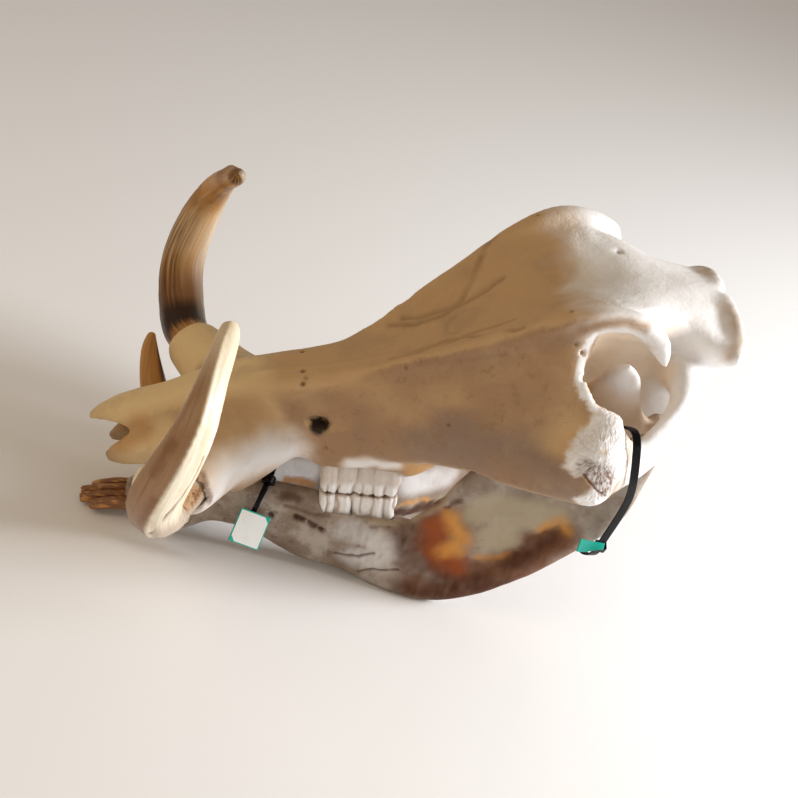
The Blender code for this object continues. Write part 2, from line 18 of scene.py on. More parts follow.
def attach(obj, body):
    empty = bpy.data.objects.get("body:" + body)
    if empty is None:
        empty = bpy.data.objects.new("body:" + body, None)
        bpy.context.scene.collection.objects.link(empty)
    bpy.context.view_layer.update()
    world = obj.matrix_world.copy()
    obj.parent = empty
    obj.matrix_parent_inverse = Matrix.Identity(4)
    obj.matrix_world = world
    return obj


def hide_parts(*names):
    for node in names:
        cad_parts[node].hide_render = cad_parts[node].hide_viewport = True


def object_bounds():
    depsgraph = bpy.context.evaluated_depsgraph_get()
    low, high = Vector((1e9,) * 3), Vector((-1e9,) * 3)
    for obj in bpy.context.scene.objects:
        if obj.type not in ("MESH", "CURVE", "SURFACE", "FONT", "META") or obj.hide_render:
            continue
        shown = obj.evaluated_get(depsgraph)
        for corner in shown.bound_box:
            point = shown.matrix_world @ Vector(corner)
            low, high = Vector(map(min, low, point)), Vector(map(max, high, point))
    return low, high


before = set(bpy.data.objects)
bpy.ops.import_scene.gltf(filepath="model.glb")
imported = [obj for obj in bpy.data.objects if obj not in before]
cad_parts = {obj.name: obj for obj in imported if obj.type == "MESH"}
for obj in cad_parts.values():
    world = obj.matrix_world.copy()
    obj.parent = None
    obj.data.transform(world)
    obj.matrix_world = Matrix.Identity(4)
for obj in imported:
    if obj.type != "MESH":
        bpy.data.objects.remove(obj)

CAD_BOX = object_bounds()
print("solids:", len(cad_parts), "size in mm:", [round(v * 1000) for v in CAD_BOX[1] - CAD_BOX[0]])

# %% [markdown]
# A skull is easiest to describe in its own frame: X runs back from the snout, Y to the animal's
# right, Z up, with the palate level, in millimetres. The finished skull stands nose-down by a few
# degrees. One matrix holds that tilt, so every size below can stay in the skull's frame.

# %% The skull's own frame
MM = 0.001
REST_TILT = math.radians(6.5)
REST_PLACE = (0.0027, 0.0, 0.1111)
STAND = Matrix.Translation(REST_PLACE) @ Matrix.Rotation(-REST_TILT, 4, "Y")
SIDES = (("left", -1), ("right", 1))


def at(x, y, z):
    """A place in the scene, from a place in the skull's frame in mm."""
    return STAND @ (Vector((x, y, z)) * MM)


def in_skull(places):
    """Scene places, an array with one row each, as mm in the skull's frame."""
    back = np.array(STAND.inverted())
    return (places @ back[:3, :3].T + back[:3, 3]) / MM


print("the skull's zero is", round(at(0, 0, 0).z * 1000), "mm over the floor")

# %% [markdown]
# The photo was taken from in front and above on the animal's left side, with the camera rolled a
# little. The same camera stands here. Its lens is long, because the two tusks are nearly the same
# size in the photo. With the camera known, a point seen in the photo can be sent back through the
# lens onto the bone, which is the best way to put a crack or a hole exactly where it belongs.

# %% Camera
PHOTO_SIZE = 798
FOCAL_PIXELS = 1500.0
FILM_WIDTH = 36.0
CAMERA_TURN, CAMERA_RISE, CAMERA_ROLL = (math.radians(v) for v in (-8.7, 31.0, -9.0))
CAMERA_DISTANCE = 0.9


def photo_pose():
    """Where the photo's camera stood, as a matrix: it looks at the skull's zero."""
    back = Vector((
        math.sin(CAMERA_TURN) * math.cos(CAMERA_RISE),
        -math.cos(CAMERA_TURN) * math.cos(CAMERA_RISE),
        math.sin(CAMERA_RISE),
    ))
    level = Vector((math.cos(CAMERA_TURN), math.sin(CAMERA_TURN), 0))
    rise = level.cross(-back)
    right = level * math.cos(CAMERA_ROLL) - rise * math.sin(CAMERA_ROLL)
    up = level * math.sin(CAMERA_ROLL) + rise * math.cos(CAMERA_ROLL)
    pose = Matrix((right, up, back)).transposed().to_4x4()
    pose.translation = back * CAMERA_DISTANCE
    return STAND @ pose


camera = bpy.data.objects.new("camera", bpy.data.cameras.new("camera"))
bpy.context.scene.collection.objects.link(camera)
camera.matrix_world = photo_pose()
camera.data.sensor_width = FILM_WIDTH
camera.data.lens = FOCAL_PIXELS * FILM_WIDTH / PHOTO_SIZE
bpy.context.scene.camera = camera
print("lens", round(camera.data.lens, 1), "mm")

# %% [markdown]
# The floor is one large pale sheet. The light is that of a room with one big window behind the
# skull, at the right of the picture. A bright lamp there bleaches the back of the skull, and a warm
# glow from everywhere else leaves the near side in soft shade. A weak warm lamp in front lights the
# snout as the wall of a room would, and a weak cool one fills the shade. The view is set to show
# colours as they are.

# %% Floor and light
FLOOR_SIZE = 12.0
FLOOR_COLOUR = (0.92, 0.92, 0.93, 1)
FLOOR_ROUGHNESS = 0.8
SKY_COLOUR = (1.0, 0.87, 0.73, 1)
SKY_STRENGTH = 0.34
# Place and size in metres, power in watts, and colour of each lamp
LAMPS = {
    "window": ((1.35, -0.20, 0.60), 0.42, 30.0, (0.96, 0.98, 1.0)),
    "warm wall": ((-1.00, -0.35, 0.90), 0.8, 3.0, (1.0, 0.74, 0.44)),
    "cool fill": ((0.50, -1.20, 0.10), 0.8, 2.9, (0.92, 0.95, 1.0)),
}

bpy.ops.object.select_all(action="DESELECT")
bpy.ops.mesh.primitive_plane_add(size=FLOOR_SIZE)
floor = bpy.context.object
floor.name = "floor"
floor_paint = bpy.data.materials.new("pale floor")
floor_paint.use_nodes = True
floor_shader = floor_paint.node_tree.nodes["Principled BSDF"]
floor_shader.inputs["Base Color"].default_value = FLOOR_COLOUR
floor_shader.inputs["Roughness"].default_value = FLOOR_ROUGHNESS
floor.data.materials.append(floor_paint)

sky = bpy.data.worlds.new("studio")
sky.use_nodes = True
glow = sky.node_tree.nodes["Background"]
glow.inputs["Color"].default_value = SKY_COLOUR
glow.inputs["Strength"].default_value = SKY_STRENGTH
bpy.context.scene.world = sky
bpy.context.scene.view_settings.view_transform = "Standard"


def soft_lamp(name, place, size, power, colour):
    """A square lamp of this size and power that faces the middle of the skull."""
    lamp = bpy.data.objects.new(name, bpy.data.lights.new(name, "AREA"))
    lamp.data.size = size
    lamp.data.energy = power
    lamp.data.color = colour
    lamp.location = place
    lamp.rotation_euler = (at(0, 0, 0) - Vector(place)).to_track_quat("-Z", "Y").to_euler()
    bpy.context.scene.collection.objects.link(lamp)


for name, (place, size, power, colour) in LAMPS.items():
    soft_lamp(name, place, size, power, colour)
print("floor and", len(LAMPS), "lamps are in place")

# %% [markdown]
# A few helpers are used for every piece. An operator in Blender works on whatever is selected, so
# the first helper selects one object and nothing else. A copy of a solid comes as loose triangles,
# so its doubles are merged before anything else is done to it.

# %% Helpers to select and copy
MERGE_DISTANCE = 0.00001


def only(piece):
    """Selects one piece and makes it the active one."""
    bpy.ops.object.select_all(action="DESELECT")
    piece.select_set(True)
    bpy.context.view_layer.objects.active = piece


def edit_all(piece, operator, **settings):
    """Selects a whole piece in edit mode and runs one operator on it."""
    only(piece)
    bpy.ops.object.mode_set(mode="EDIT")
    bpy.ops.mesh.select_all(action="SELECT")
    operator(**settings)
    bpy.ops.object.mode_set(mode="OBJECT")


def copy_of(node, name):
    """A merged copy of a solid, under a name of its own and with no material."""
    piece = bpy.data.objects.new(name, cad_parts[node].data.copy())
    bpy.context.scene.collection.objects.link(piece)
    only(piece)
    bpy.ops.mesh.customdata_custom_splitnormals_clear()
    edit_all(piece, bpy.ops.mesh.remove_doubles, threshold=MERGE_DISTANCE)
    piece.data.materials.clear()
    return piece


print("solids to copy:", len(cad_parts))

# %% [markdown]
# Nothing grown has flat facets. Subdivision rounds them, a voxel remesh gives the piece one even
# skin of small faces, and a few rounds of smoothing relax it. The size of those faces is the grain.

# %% Helpers to smooth
LEVELS = 2
RELAX_FACTOR = 0.5
RELAX_ROUNDS = 2


def apply_all(piece):
    """Applies each modifier of a piece, from the top of its list."""
    only(piece)
    for step in list(piece.modifiers):
        bpy.ops.object.modifier_apply(modifier=step.name)


def make_smooth(piece, levels, grain):
    """Rounds the facets, remeshes at one grain in mm, and relaxes the result."""
    rounding = piece.modifiers.new("Rounding", "SUBSURF")
    rounding.levels = rounding.render_levels = levels
    even = piece.modifiers.new("Even", "REMESH")
    even.mode = "VOXEL"
    even.voxel_size = grain * MM
    relax = piece.modifiers.new("Relax", "SMOOTH")
    relax.factor = RELAX_FACTOR
    relax.iterations = RELAX_ROUNDS
    apply_all(piece)
    piece.data.shade_smooth()
    print(piece.name, "has", len(piece.data.polygons), "faces")


print("subdivision levels:", LEVELS)

# %% [markdown]
# Sculpting in code means moving vertices along their normals. These helpers read all places and
# normals at once into arrays and write the moved places back.

# %% Helpers to move vertices
def rows_of(things, key):
    """One row of three numbers for each of a mesh's vertices or normals."""
    flat = np.empty(len(things) * 3)
    things.foreach_get(key, flat)
    return flat.reshape(-1, 3)


def places_of(piece):
    """Where each vertex of a piece is, in metres."""
    return rows_of(piece.data.vertices, "co")


def normals_of(piece):
    """Which way each vertex of a piece faces."""
    return rows_of(piece.data.vertex_normals, "vector")


def move_to(piece, places):
    """Moves the vertices of a piece to these places."""
    piece.data.vertices.foreach_set("co", places.ravel())
    piece.data.update()


def push(piece, amount):
    """Moves each vertex along its normal by an amount in mm, and no further than the solids' box."""
    moved = places_of(piece) + normals_of(piece) * (amount * MM)[:, None]
    move_to(piece, np.clip(moved, np.array(CAD_BOX[0]), np.array(CAD_BOX[1])))


print("nothing is pushed out of this box:", [[round(v, 3) for v in corner] for corner in CAD_BOX])

# %% [markdown]
# A mark on the bone is a route: a few places joined by straight runs. The distance from each vertex
# to the route is measured, and a mask fades with it, from 1 on the mark to 0 away from it. The same
# masks say where to push and where to paint.

# %% Helpers to make masks
FAR_AWAY = 1e6
SHORTEST = 1e-12


def far_from(places, route):
    """Distance in mm from each place to a route of straight runs."""
    best = np.full(len(places), FAR_AWAY)
    for start, end in zip(route, route[1:] if len(route) > 1 else route):
        run = end - start
        share = np.clip((places - start) @ run / max(run @ run, SHORTEST), 0, 1)
        best = np.minimum(best, np.linalg.norm(places - start - share[:, None] * run, axis=1))
    return best / MM


def ramp(values, low, high):
    """0 below low, 1 above high, and smooth between."""
    share = np.clip((values - low) / (high - low), 0, 1)
    return share * share * (3 - 2 * share)


def line(routes, places, width):
    """1 on any of the routes, fading to 0 at about two widths from it."""
    best = np.zeros(len(places))
    for route in routes:
        best = np.maximum(best, np.exp(-((far_from(places, route) / width) ** 2)))
    return best


def area(routes, places, reach, soft):
    """1 within reach of any of the routes, with an edge this soft, all in mm."""
    best = np.zeros(len(places))
    for route in routes:
        best = np.maximum(best, 1 - ramp(far_from(places, route), reach - soft, reach + soft))
    return best


def strongest(*masks):
    """The strongest of several masks, vertex by vertex."""
    return np.maximum.reduce(masks)


print("a ramp from 0 to 4 passes", ramp(np.arange(5), 0, 4).round(2))

# %% [markdown]
# Smooth noise makes the slow waves of a bone's surface. It also bends the marks, because nothing
# grown has a straight edge: the places are shifted a little before a mask is measured on them.

# %% Helpers for noise
SEED_STEPS = np.array((1.0, 1.7, 0.6))


def roughly(places, scale, seed=0.0):
    """Smooth noise between about -1 and 1, with lumps of this size in mm."""
    spots = places / (scale * MM) + seed * SEED_STEPS
    return np.array([noise.noise(spot) for spot in spots.tolist()])


def waves(places, rows):
    """Layers of noise added up. A row is a height in mm, the size of the lumps in mm, and a seed."""
    return sum(height * roughly(places, scale, seed) for height, scale, seed in rows)


def relief(rows):
    """Lines added up. A row is their height in mm, below 0 for a groove, with routes, places, width."""
    return sum(height * line(routes, where, width) for height, routes, where, width in rows)


def wander(places, scale, reach, seed=0.0):
    """The places, shifted by smooth noise, so that what is drawn with them gets a ragged edge."""
    shifts = [roughly(places, scale, seed + 10 * axis) for axis in (1, 2, 3)]
    return places + np.stack(shifts, axis=1) * reach * MM


print("noise at the scene's zero:", roughly(np.zeros((1, 3)), scale=10, seed=1.0).round(3))

# %% [markdown]
# Marks are placed by their pixel in the photo. A line of sight through that pixel is followed to
# the bone, and the place where it lands is kept. A skull has two like sides, and the photo shows
# one, so each mark is mirrored to the other side. The noise is not mirrored, and so the two sides
# still differ, as they do on a real skull.

# %% Helpers to place marks
def tree_of(piece):
    """The faces of a piece, sorted so that a line of sight finds the first one it meets fast."""
    corners = [vertex.co for vertex in piece.data.vertices]
    return BVHTree.FromPolygons(corners, [face.vertices for face in piece.data.polygons])


def seen(tree, pixels):
    """Where the lines of sight through these pixels of the photo meet a piece, on both sides."""
    pose = camera.matrix_world
    near_side = []
    for u, v in pixels:
        across, down = (u - PHOTO_SIZE / 2) / FOCAL_PIXELS, (v - PHOTO_SIZE / 2) / FOCAL_PIXELS
        hit = tree.ray_cast(pose.translation, pose.to_3x3() @ Vector((across, -down, -1)))[0]
        if hit is not None:
            near_side.append(np.array(hit))
    return [near_side, [spot * (1, -1, 1) for spot in near_side]] if near_side else []


def spots_seen(tree, pixels):
    """The same, with each pixel as a spot of its own."""
    return [[spot] for route in seen(tree, pixels) for spot in route]


def pixels_of(places):
    """The pixel of the photo that each place, or its mirror image on the near side, shows at."""
    lens = np.array(camera.matrix_world.inverted())
    near_side = places * (1, 0, 1) - np.abs(places) * (0, 1, 0)
    sight = near_side @ lens[:3, :3].T + lens[:3, 3]
    return PHOTO_SIZE / 2 + FOCAL_PIXELS * sight[:, :2] * (1, -1) / -sight[:, 2:]


print("the scene's zero is at pixel", pixels_of(np.zeros((1, 3))).round(0)[0])

# %% [markdown]
# A mask is stored as one number per vertex, which a material reads later. A mark of a millimetre
# needs smaller faces than the rest of the bone, so the faces near it are cut in four.

# %% Helpers to paint masks and refine faces
def paint(piece, name, values):
    """Stores one number per vertex, for a material to read."""
    layer = piece.data.attributes.new(name, "FLOAT", "POINT")
    layer.data.foreach_set("value", np.asarray(values, np.float32))


def refine_near(piece, routes, reach):
    """Cuts each face within reach (in mm) of a route into four."""
    mesh = piece.data
    places = places_of(piece)
    near = np.zeros(len(places), bool)
    for route in routes:
        near |= far_from(places, route) < reach
    ends = np.empty(len(mesh.edges) * 2, int)
    mesh.edges.foreach_get("vertices", ends)
    mesh.vertices.foreach_set("select", near)
    mesh.edges.foreach_set("select", near[ends.reshape(-1, 2)].all(axis=1))
    mesh.polygons.foreach_set("select", [all(near[i] for i in face.vertices) for face in mesh.polygons])
    only(piece)
    bpy.ops.object.mode_set(mode="EDIT")
    bpy.ops.mesh.subdivide(number_cuts=1)
    bpy.ops.object.mode_set(mode="OBJECT")
    piece.data.shade_smooth()


print("a mask is painted by", paint.__name__, "and faces are cut by", refine_near.__name__)

# %% [markdown]
# The cranium is the largest bone: snout, forehead, eye sockets, cheek arches and the crest at the
# back, all grown together. It could be sculpted from a ball, but its solid has the right shape and
# size already, so a copy of that is smoothed. Then it has enough vertices to carve grooves of two or
# three millimetres. The lower jaw is made the same way, with a finer grain because its edges are
# thinner.

# %% Cranium and jaw, made smooth
CRANIUM_GRAIN = 2.1
JAW_GRAIN = 1.8

cranium = copy_of("cranium", "cranium_bone")
make_smooth(cranium, LEVELS, CRANIUM_GRAIN)
cranium_tree = tree_of(cranium)

jaw = copy_of("mandible", "jaw_bone")
make_smooth(jaw, LEVELS, JAW_GRAIN)
jaw_tree = tree_of(jaw)

# %% [markdown]
# The forehead has long grooves that run forward from above the eye, where vessels lay on the bone, and low
# ridges beside them, where the flat top of the snout turns into its side. They could be modelled as loops of
# edges, but they cross the bone at all angles. Here each is a list of pixels, read from the photo, and the
# ridges are raised and the grooves pressed in further on.

# %% Grooves and ridges seen in the photo
BROW_GROOVE = [(404, 318), (422, 316), (442, 309), (461, 304), (478, 294), (502, 278)]
LOW_GROOVE = [(395, 358), (419, 349), (448, 339), (468, 335), (515, 329), (521, 327)]
FAINT_GROOVE = [(411, 361), (455, 361), (487, 357), (506, 354)]
SIDE_GROOVE = [(455, 316), (446, 324), (447, 331)]
CREASES = [(284, 439), (296, 441), (307, 437)]
SNOUT_EDGE = [(245, 361), (302, 355), (335, 350), (371, 339), (401, 330)]
BROW_EDGE = [(383, 328), (416, 317), (451, 296)]
SOCKET_CREST = [(549, 331), (568, 323), (588, 317), (610, 314), (643, 318), (662, 330), (668, 345)]
SOCKET_SHELF = [(560, 338), (580, 328), (603, 322), (630, 321)]

grooves = seen(cranium_tree, BROW_GROOVE) + seen(cranium_tree, LOW_GROOVE)
faint_grooves = seen(cranium_tree, FAINT_GROOVE) + seen(cranium_tree, SIDE_GROOVE)
faint_grooves += seen(cranium_tree, CREASES)
ridges = seen(cranium_tree, SNOUT_EDGE) + seen(cranium_tree, BROW_EDGE)
crests = seen(cranium_tree, SOCKET_CREST)
shelves = seen(cranium_tree, SOCKET_SHELF)
print("grooves:", len(grooves) + len(faint_grooves), "ridges:", len(ridges) + len(crests))

# %% [markdown]
# Nerves and vessels left holes. The black one low on the snout fed the upper lip and is bored
# right through the solid. Two small ones with raised lips sit on the front rim of the eye socket
# and drained the tears. A few more are scattered over the snout, the cheek and the brow. The bored
# hole of the solid is found by a line of sight on each side of it, which meet in its middle.

# %% Holes and pits seen in the photo
LIP_HOLE = [(320, 425)]
LIP_HOLE_SIDES = [(316, 419), (344, 419)]
TEAR_HOLES = [(583, 353), (583, 379)]
BROW_HOLES = [(619, 251)]
SMALL_PITS = [(406, 368), (448, 425), (326, 448), (303, 371), (303, 384), (572, 311), (576, 345)]

lip_holes = seen(cranium_tree, LIP_HOLE)
bored_middles = [[sum(route) / len(route)] for route in seen(cranium_tree, LIP_HOLE_SIDES)]
tear_holes = spots_seen(cranium_tree, TEAR_HOLES)
brow_holes = spots_seen(cranium_tree, BROW_HOLES)[:1]
small_pits = spots_seen(cranium_tree, SMALL_PITS)
print("holes and pits:", len(tear_holes) + len(brow_holes) + len(small_pits))

# %% [markdown]
# The cheek ends in a big knob with a rough, fibrous face. On its lower half two bones meet in a
# thin red-brown seam, with a pitted brown patch over it. The back of the brow and the upper rim of
# the eye socket are rough in the same way.

# %% The rough places of the cranium
KNOB_MIDDLE = [(602, 462)]
KNOB_FACE = [
    (612, 420), (600, 432), (586, 446), (579, 460), (596, 466),
    (608, 478), (602, 492), (592, 501), (582, 505), (574, 504),
]
KNOB_BACK = [(616, 436), (617, 455), (614, 474)]
KNOB_PATCH = [(585, 468), (595, 472), (599, 482), (606, 472), (609, 484), (605, 492)]
CHEEK_SEAM = [(584, 475), (588, 480), (594, 488), (599, 492), (605, 496)]
SEAM_END = [(613, 496), (623, 490)]
BROW_BACK = [(566, 226), (580, 236), (572, 246), (590, 232)]
RIM_TOP = [(570, 309), (590, 304), (620, 303), (650, 306), (668, 315)]

knob_faces = seen(cranium_tree, KNOB_FACE) + seen(cranium_tree, KNOB_BACK)
knob_patches = seen(cranium_tree, KNOB_PATCH)
seams = seen(cranium_tree, CHEEK_SEAM) + seen(cranium_tree, SEAM_END)
rough_brows = seen(cranium_tree, BROW_BACK)
rough_rims = seen(cranium_tree, RIM_TOP)
print("rough places:", len(knob_faces) + len(rough_brows) + len(rough_rims))

# %% [markdown]
# Where a crack or a hole is only a millimetre or two wide, the even skin is too coarse. The faces
# near it are picked by their distance and cut in four, which keeps the rest of the bone light. The
# knob, for its fibres, and the tear holes are cut twice.

# %% Finer faces where detail is small
# Routes, and how far from them the faces are cut, in mm
FINER = (
    (grooves + ridges, 4),
    (tear_holes + brow_holes + small_pits, 5),
    (knob_faces + seams, 11),
    (rough_brows, 7),
    (knob_faces + seams, 9),
    (tear_holes, 3),
)

before = len(cranium.data.polygons)
for routes, reach in FINER:
    refine_near(cranium, routes, reach)
print("cranium:", before, "faces, then", len(cranium.data.polygons))

# %% [markdown]
# The bored hole came out a little high and round. The bone near it is slid forward and down, and
# flattened, with a weight that fades to nothing two centimetres away.

# %% Move the lip hole to its place
HOLE_SLIDE = (-5.3, 0.0, -3.4)
HOLE_FLATTER = 0.42
HOLE_REACH, HOLE_SOFT = 13, 6

places = places_of(cranium)
for middle in bored_middles:
    weight = area([middle], places, HOLE_REACH, HOLE_SOFT)
    places[:, 2] -= HOLE_FLATTER * weight * (places[:, 2] - middle[0][2])
    places += weight[:, None] * np.array(HOLE_SLIDE) * MM
move_to(cranium, places)
print("holes slid:", len(bored_middles))

# %% [markdown]
# The fibres on the knob run out from its middle, so their noise is read by the angle round that
# middle. It is folded at zero, which gives sharp fibres and not lumps. The back of the brow and the
# rim of the eye socket get the same fibres, but weaker.

# %% Fibres on the rough places
SPOKE_REACH = 15
SPOKE_DRAW = 0.22
FIBRE_SIZE, FIBRE_FOLD = 1.1, 2.0
KNOB_REACH, KNOB_SOFT = 8, 2.4
WEAKER = 0.45


def spokes_round(places, middle, reach):
    """Places by their angle round a middle, drawn out along the spokes, in metres."""
    offset = places * (1, 0, 1) + np.abs(places) * (0, -1, 0) - middle
    angle = np.arctan2(offset[:, 2], offset[:, 0])
    out = np.hypot(offset[:, 0], offset[:, 2])
    return np.stack([np.cos(angle) * reach * MM, np.sin(angle) * reach * MM, SPOKE_DRAW * out], axis=1)


bent = wander(places, scale=6, reach=0.8)
spokes = spokes_round(places, seen(cranium_tree, KNOB_MIDDLE)[0][0], SPOKE_REACH)
fibres = 0.5 - FIBRE_FOLD * np.abs(roughly(spokes, FIBRE_SIZE, seed=7.0))
fibres += 0.8 * roughly(places, scale=2.2, seed=9.0)
knob_edge = KNOB_REACH + 1.1 * roughly(spokes, scale=1.6, seed=3.0)
knob = area(knob_faces, wander(places, scale=7, reach=3.0), knob_edge, KNOB_SOFT)
rough = strongest(
    knob,
    WEAKER * area(rough_brows, wander(places, scale=6, reach=4.0), reach=6, soft=7),
    WEAKER * area(rough_rims, wander(places, scale=4, reach=2.0), reach=2.5, soft=3.5),
)
print("rough on", int((rough > 0.3).sum()), "of", len(places), "vertices")

# %% [markdown]
# All of it is then pressed in or raised at once. Pushes are kept in one array, so that the order
# does not matter and each vertex moves along one normal. The heights are in millimetres.

# %% Carve the cranium
CRANIUM_WAVES = ((0.5, 30, 0.0), (0.28, 11, 2.0), (0.08, 4, 3.0))
# Height, routes, places and width of each line
CRANIUM_RELIEF = (
    (-1.4, grooves, bent, 2.2),
    (-0.6, faint_grooves, bent, 1.9),
    (0.8, ridges, bent, 2.2),
    (1.1, crests, bent, 2.4),
    (-0.9, shelves, bent, 2.2),
    (-1.8, brow_holes, places, 2.2),
    (-0.9, small_pits, places, 1.0),
    (-1.1, seams, bent, 0.7),
)
TEAR_DEPTH, TEAR_RISE = 3.6, 1.3
FIBRE_HEIGHT = 0.25
PATCH_DEPTH = 0.7

tear_dip, tear_lip = line(tear_holes, places, width=1.5), line(tear_holes, places, width=3.0)
carve = waves(places, CRANIUM_WAVES) + relief(CRANIUM_RELIEF)
carve -= TEAR_DEPTH * tear_dip - TEAR_RISE * (tear_lip - tear_dip)
carve += FIBRE_HEIGHT * rough * fibres
pitting = 0.6 + np.abs(roughly(places, scale=1.6, seed=7.0))
carve -= PATCH_DEPTH * area(knob_patches, bent, reach=4, soft=2.5) * pitting
push(cranium, carve)
print("deepest cut:", round(-carve.min(), 1), "mm")

# %% [markdown]
# Colour is painted as masks: one number per vertex that says how tan or how brown the bone is there. The
# materials read them later. The knob, the bone over the lip and the teeth, and the lips of the tear holes are
# painted chalk white. The front rim of the eye socket, the back of the brow and the whole back of the skull
# face the window, and their chalk white is painted light. Under the crest of the socket and on the side of
# the neck crest the chalk is held back as painted shade. Inside the eye sockets the bone is painted a lighter
# cream, which is painted light in the shaded sockets. The long changes of tone follow the skull's own frame,
# and noise makes their edges drift by a centimetre.

# %% Where the cranium is chalk white, partly as painted light
PALE_LIP = [(205, 500), (225, 480), (245, 467), (268, 456), (288, 452)]
PALE_GUM = [(350, 464), (375, 463), (395, 466)]
SOCKET_FRONT = [
    (595, 335), (587, 347), (581, 362), (580, 378), (584, 396), (590, 397), (593, 408), (608, 416),
]
SOCKET_SHADE = [(583, 331), (603, 325), (625, 322), (645, 328)]
NECK_SHADE = [(728, 308), (737, 325), (741, 342), (730, 357)]
# Where each ramp starts and ends, in mm in the skull's frame
SOCKET_STARTS, SOCKET_ENDS, SOCKET_TOP, SOCKET_SIDE = (84, 92), (135, 150), (80, 88), (58, 68)
BACK_STARTS = (110, 124)
BROW_STARTS, BROW_LOW = (76, 108), (78, 92)

drift = wander(wander(places, scale=26, reach=12.0, seed=4.0), scale=8, reach=3.0, seed=1.0)
back_x, side_y, up_z = in_skull(drift).T
# Inside the eye socket, which the material paints a lighter cream as painted light
in_socket = ramp(back_x, *SOCKET_STARTS) * (1 - ramp(back_x, *SOCKET_ENDS))
in_socket *= (1 - ramp(up_z, *SOCKET_TOP)) * (1 - ramp(np.abs(side_y), *SOCKET_SIDE))
socket_shade = area(seen(cranium_tree, SOCKET_SHADE), places, reach=3, soft=3)
neck_shade = area(seen(cranium_tree, NECK_SHADE), wander(places, scale=8, reach=3.0), reach=4, soft=6)
# The back of the skull and of the brow face the window: their chalk white is painted light
painted_window_light = strongest(ramp(back_x, *BACK_STARTS), ramp(back_x, *BROW_STARTS) * ramp(up_z, *BROW_LOW))
painted_window_light *= (1 - 0.8 * in_socket) * (1 - 0.9 * socket_shade) * (1 - 0.7 * neck_shade)
chalk = strongest(
    painted_window_light,
    area(seen(cranium_tree, PALE_LIP), wander(places, scale=12, reach=3.0), reach=9, soft=13),
    0.8 * area(seen(cranium_tree, PALE_GUM), wander(places, scale=8, reach=2.0), reach=4, soft=3.5),
    # The front rim of the eye socket faces the window: its chalk white is painted light
    area(seen(cranium_tree, SOCKET_FRONT), wander(places, scale=3, reach=0.9), reach=2.2, soft=1.0),
    0.9 * tear_lip,
    knob,
)
paint(cranium, "chalk", chalk)
paint(cranium, "socket", in_socket)
print("chalk on", int((chalk > 0.3).sum()), "of", len(places), "vertices")

# %% [markdown]
# All the rest of the outside is tan. The tan is painted darker on the sides than on the forehead, as painted
# shade, and thinner on faces that point down, as painted light from the floor. Low on the cheek it is painted
# grey, as painted shade, and it is golden in its middle. The top of the nose and the far tusk's socket are
# painted the colour of honey, as painted warm light from the front.

# %% Where the cranium is tan
HONEY_NOSE = [(100, 410), (150, 392), (200, 378), (240, 366)]
HONEY_CHIN = [(140, 455), (160, 440)]
GOLD_CHEEK = [(380, 398), (415, 402), (455, 398)]
CHEEK_GREY = [(430, 445), (480, 450), (530, 465), (560, 485)]
# Where each ramp starts and ends, in mm in the skull's frame
FAR_SOCKET_SIDE, FAR_SOCKET_FRONT = (20, 34), (80, 96)
# The same for how far the bone faces up: -1 is straight down
UNDER_FACES, TOP_FACES = (-0.9, -0.4), (0.15, 0.6)

upwards = normals_of(cranium)[:, 2]
# Tan is thinner on faces that point down: that is painted light from the floor
tan = (1 - chalk) * (1 - in_socket) * (0.55 + 0.45 * ramp(upwards, *UNDER_FACES))
sideways = 1 - ramp(upwards, *TOP_FACES)
honey_routes = seen(cranium_tree, HONEY_NOSE) + seen(cranium_tree, HONEY_CHIN)
# The far tusk's socket, honey-coloured as painted warm light
far_socket = ramp(side_y, *FAR_SOCKET_SIDE) * ramp(-back_x, *FAR_SOCKET_FRONT)
honey = strongest(area(honey_routes, wander(places, scale=20, reach=6.0), reach=16, soft=12), far_socket)
# Low on the cheek, where the grey is painted shade
grey = area(seen(cranium_tree, CHEEK_GREY), drift, reach=14, soft=14)
gold = area(seen(cranium_tree, GOLD_CHEEK), drift, reach=12, soft=12)
paint(cranium, "tan", tan)
# Darker tan on the sides: painted shade
paint(cranium, "painted_side_shade", tan * sideways * (1 - honey) * (1 - 0.45 * gold))
# Grey low on the cheek: painted shade
paint(cranium, "grey", tan * grey)
# Honey on the nose and the far socket: painted warm light
paint(cranium, "warm", honey * (1 - chalk))
print("tan on", int((tan > 0.3).sum()), "of", len(places), "vertices")

# %% [markdown]
# Brown is painted in every hole, groove and seam, and in the pits of the patch on the knob. In the hollow of
# the nose, in the slit between a tusk and its socket and on the side of the neck crest it is painted shade.
# The black round the hole over the lip is painted shade too.

# %% Where the cranium is brown
RUSTY_SPOTS = [(303, 371), (303, 384), (306, 378)]
TUSK_SLIT = [(203, 474), (206, 487), (210, 502)]
NOSE_HOLLOW = [(121, 440), (131, 434), (141, 428)]
# Where each ramp starts and ends, in mm in the skull's frame: forward, down and sideways
NOSE_FRONT, NOSE_LOW, NOSE_SIDE = (100, 150), (14, 30), (9, 14)
# Strength, routes, places and width of each line
BROWN_LINES = (
    (0.7, spots_seen(cranium_tree, RUSTY_SPOTS), places, 1.4),
    (0.4, brow_holes, places, 2.2),
    (0.8, small_pits, places, 1.2),
    (0.38, grooves, bent, 1.9),
    (0.18, faint_grooves, bent, 1.6),
    (0.9, seams, bent, 0.8),
)

back_x, side_y, up_z = in_skull(places).T
# Inside the nose, where the brown is painted shade
inside_nose = ramp(-back_x, *NOSE_FRONT) * ramp(-up_z, *NOSE_LOW) * (1 - ramp(np.abs(side_y), *NOSE_SIDE))
# The side of the neck crest adds painted shade to the brown
brown = relief(BROWN_LINES) + 0.3 * inside_nose + 0.3 * neck_shade + 0.2 * tear_dip
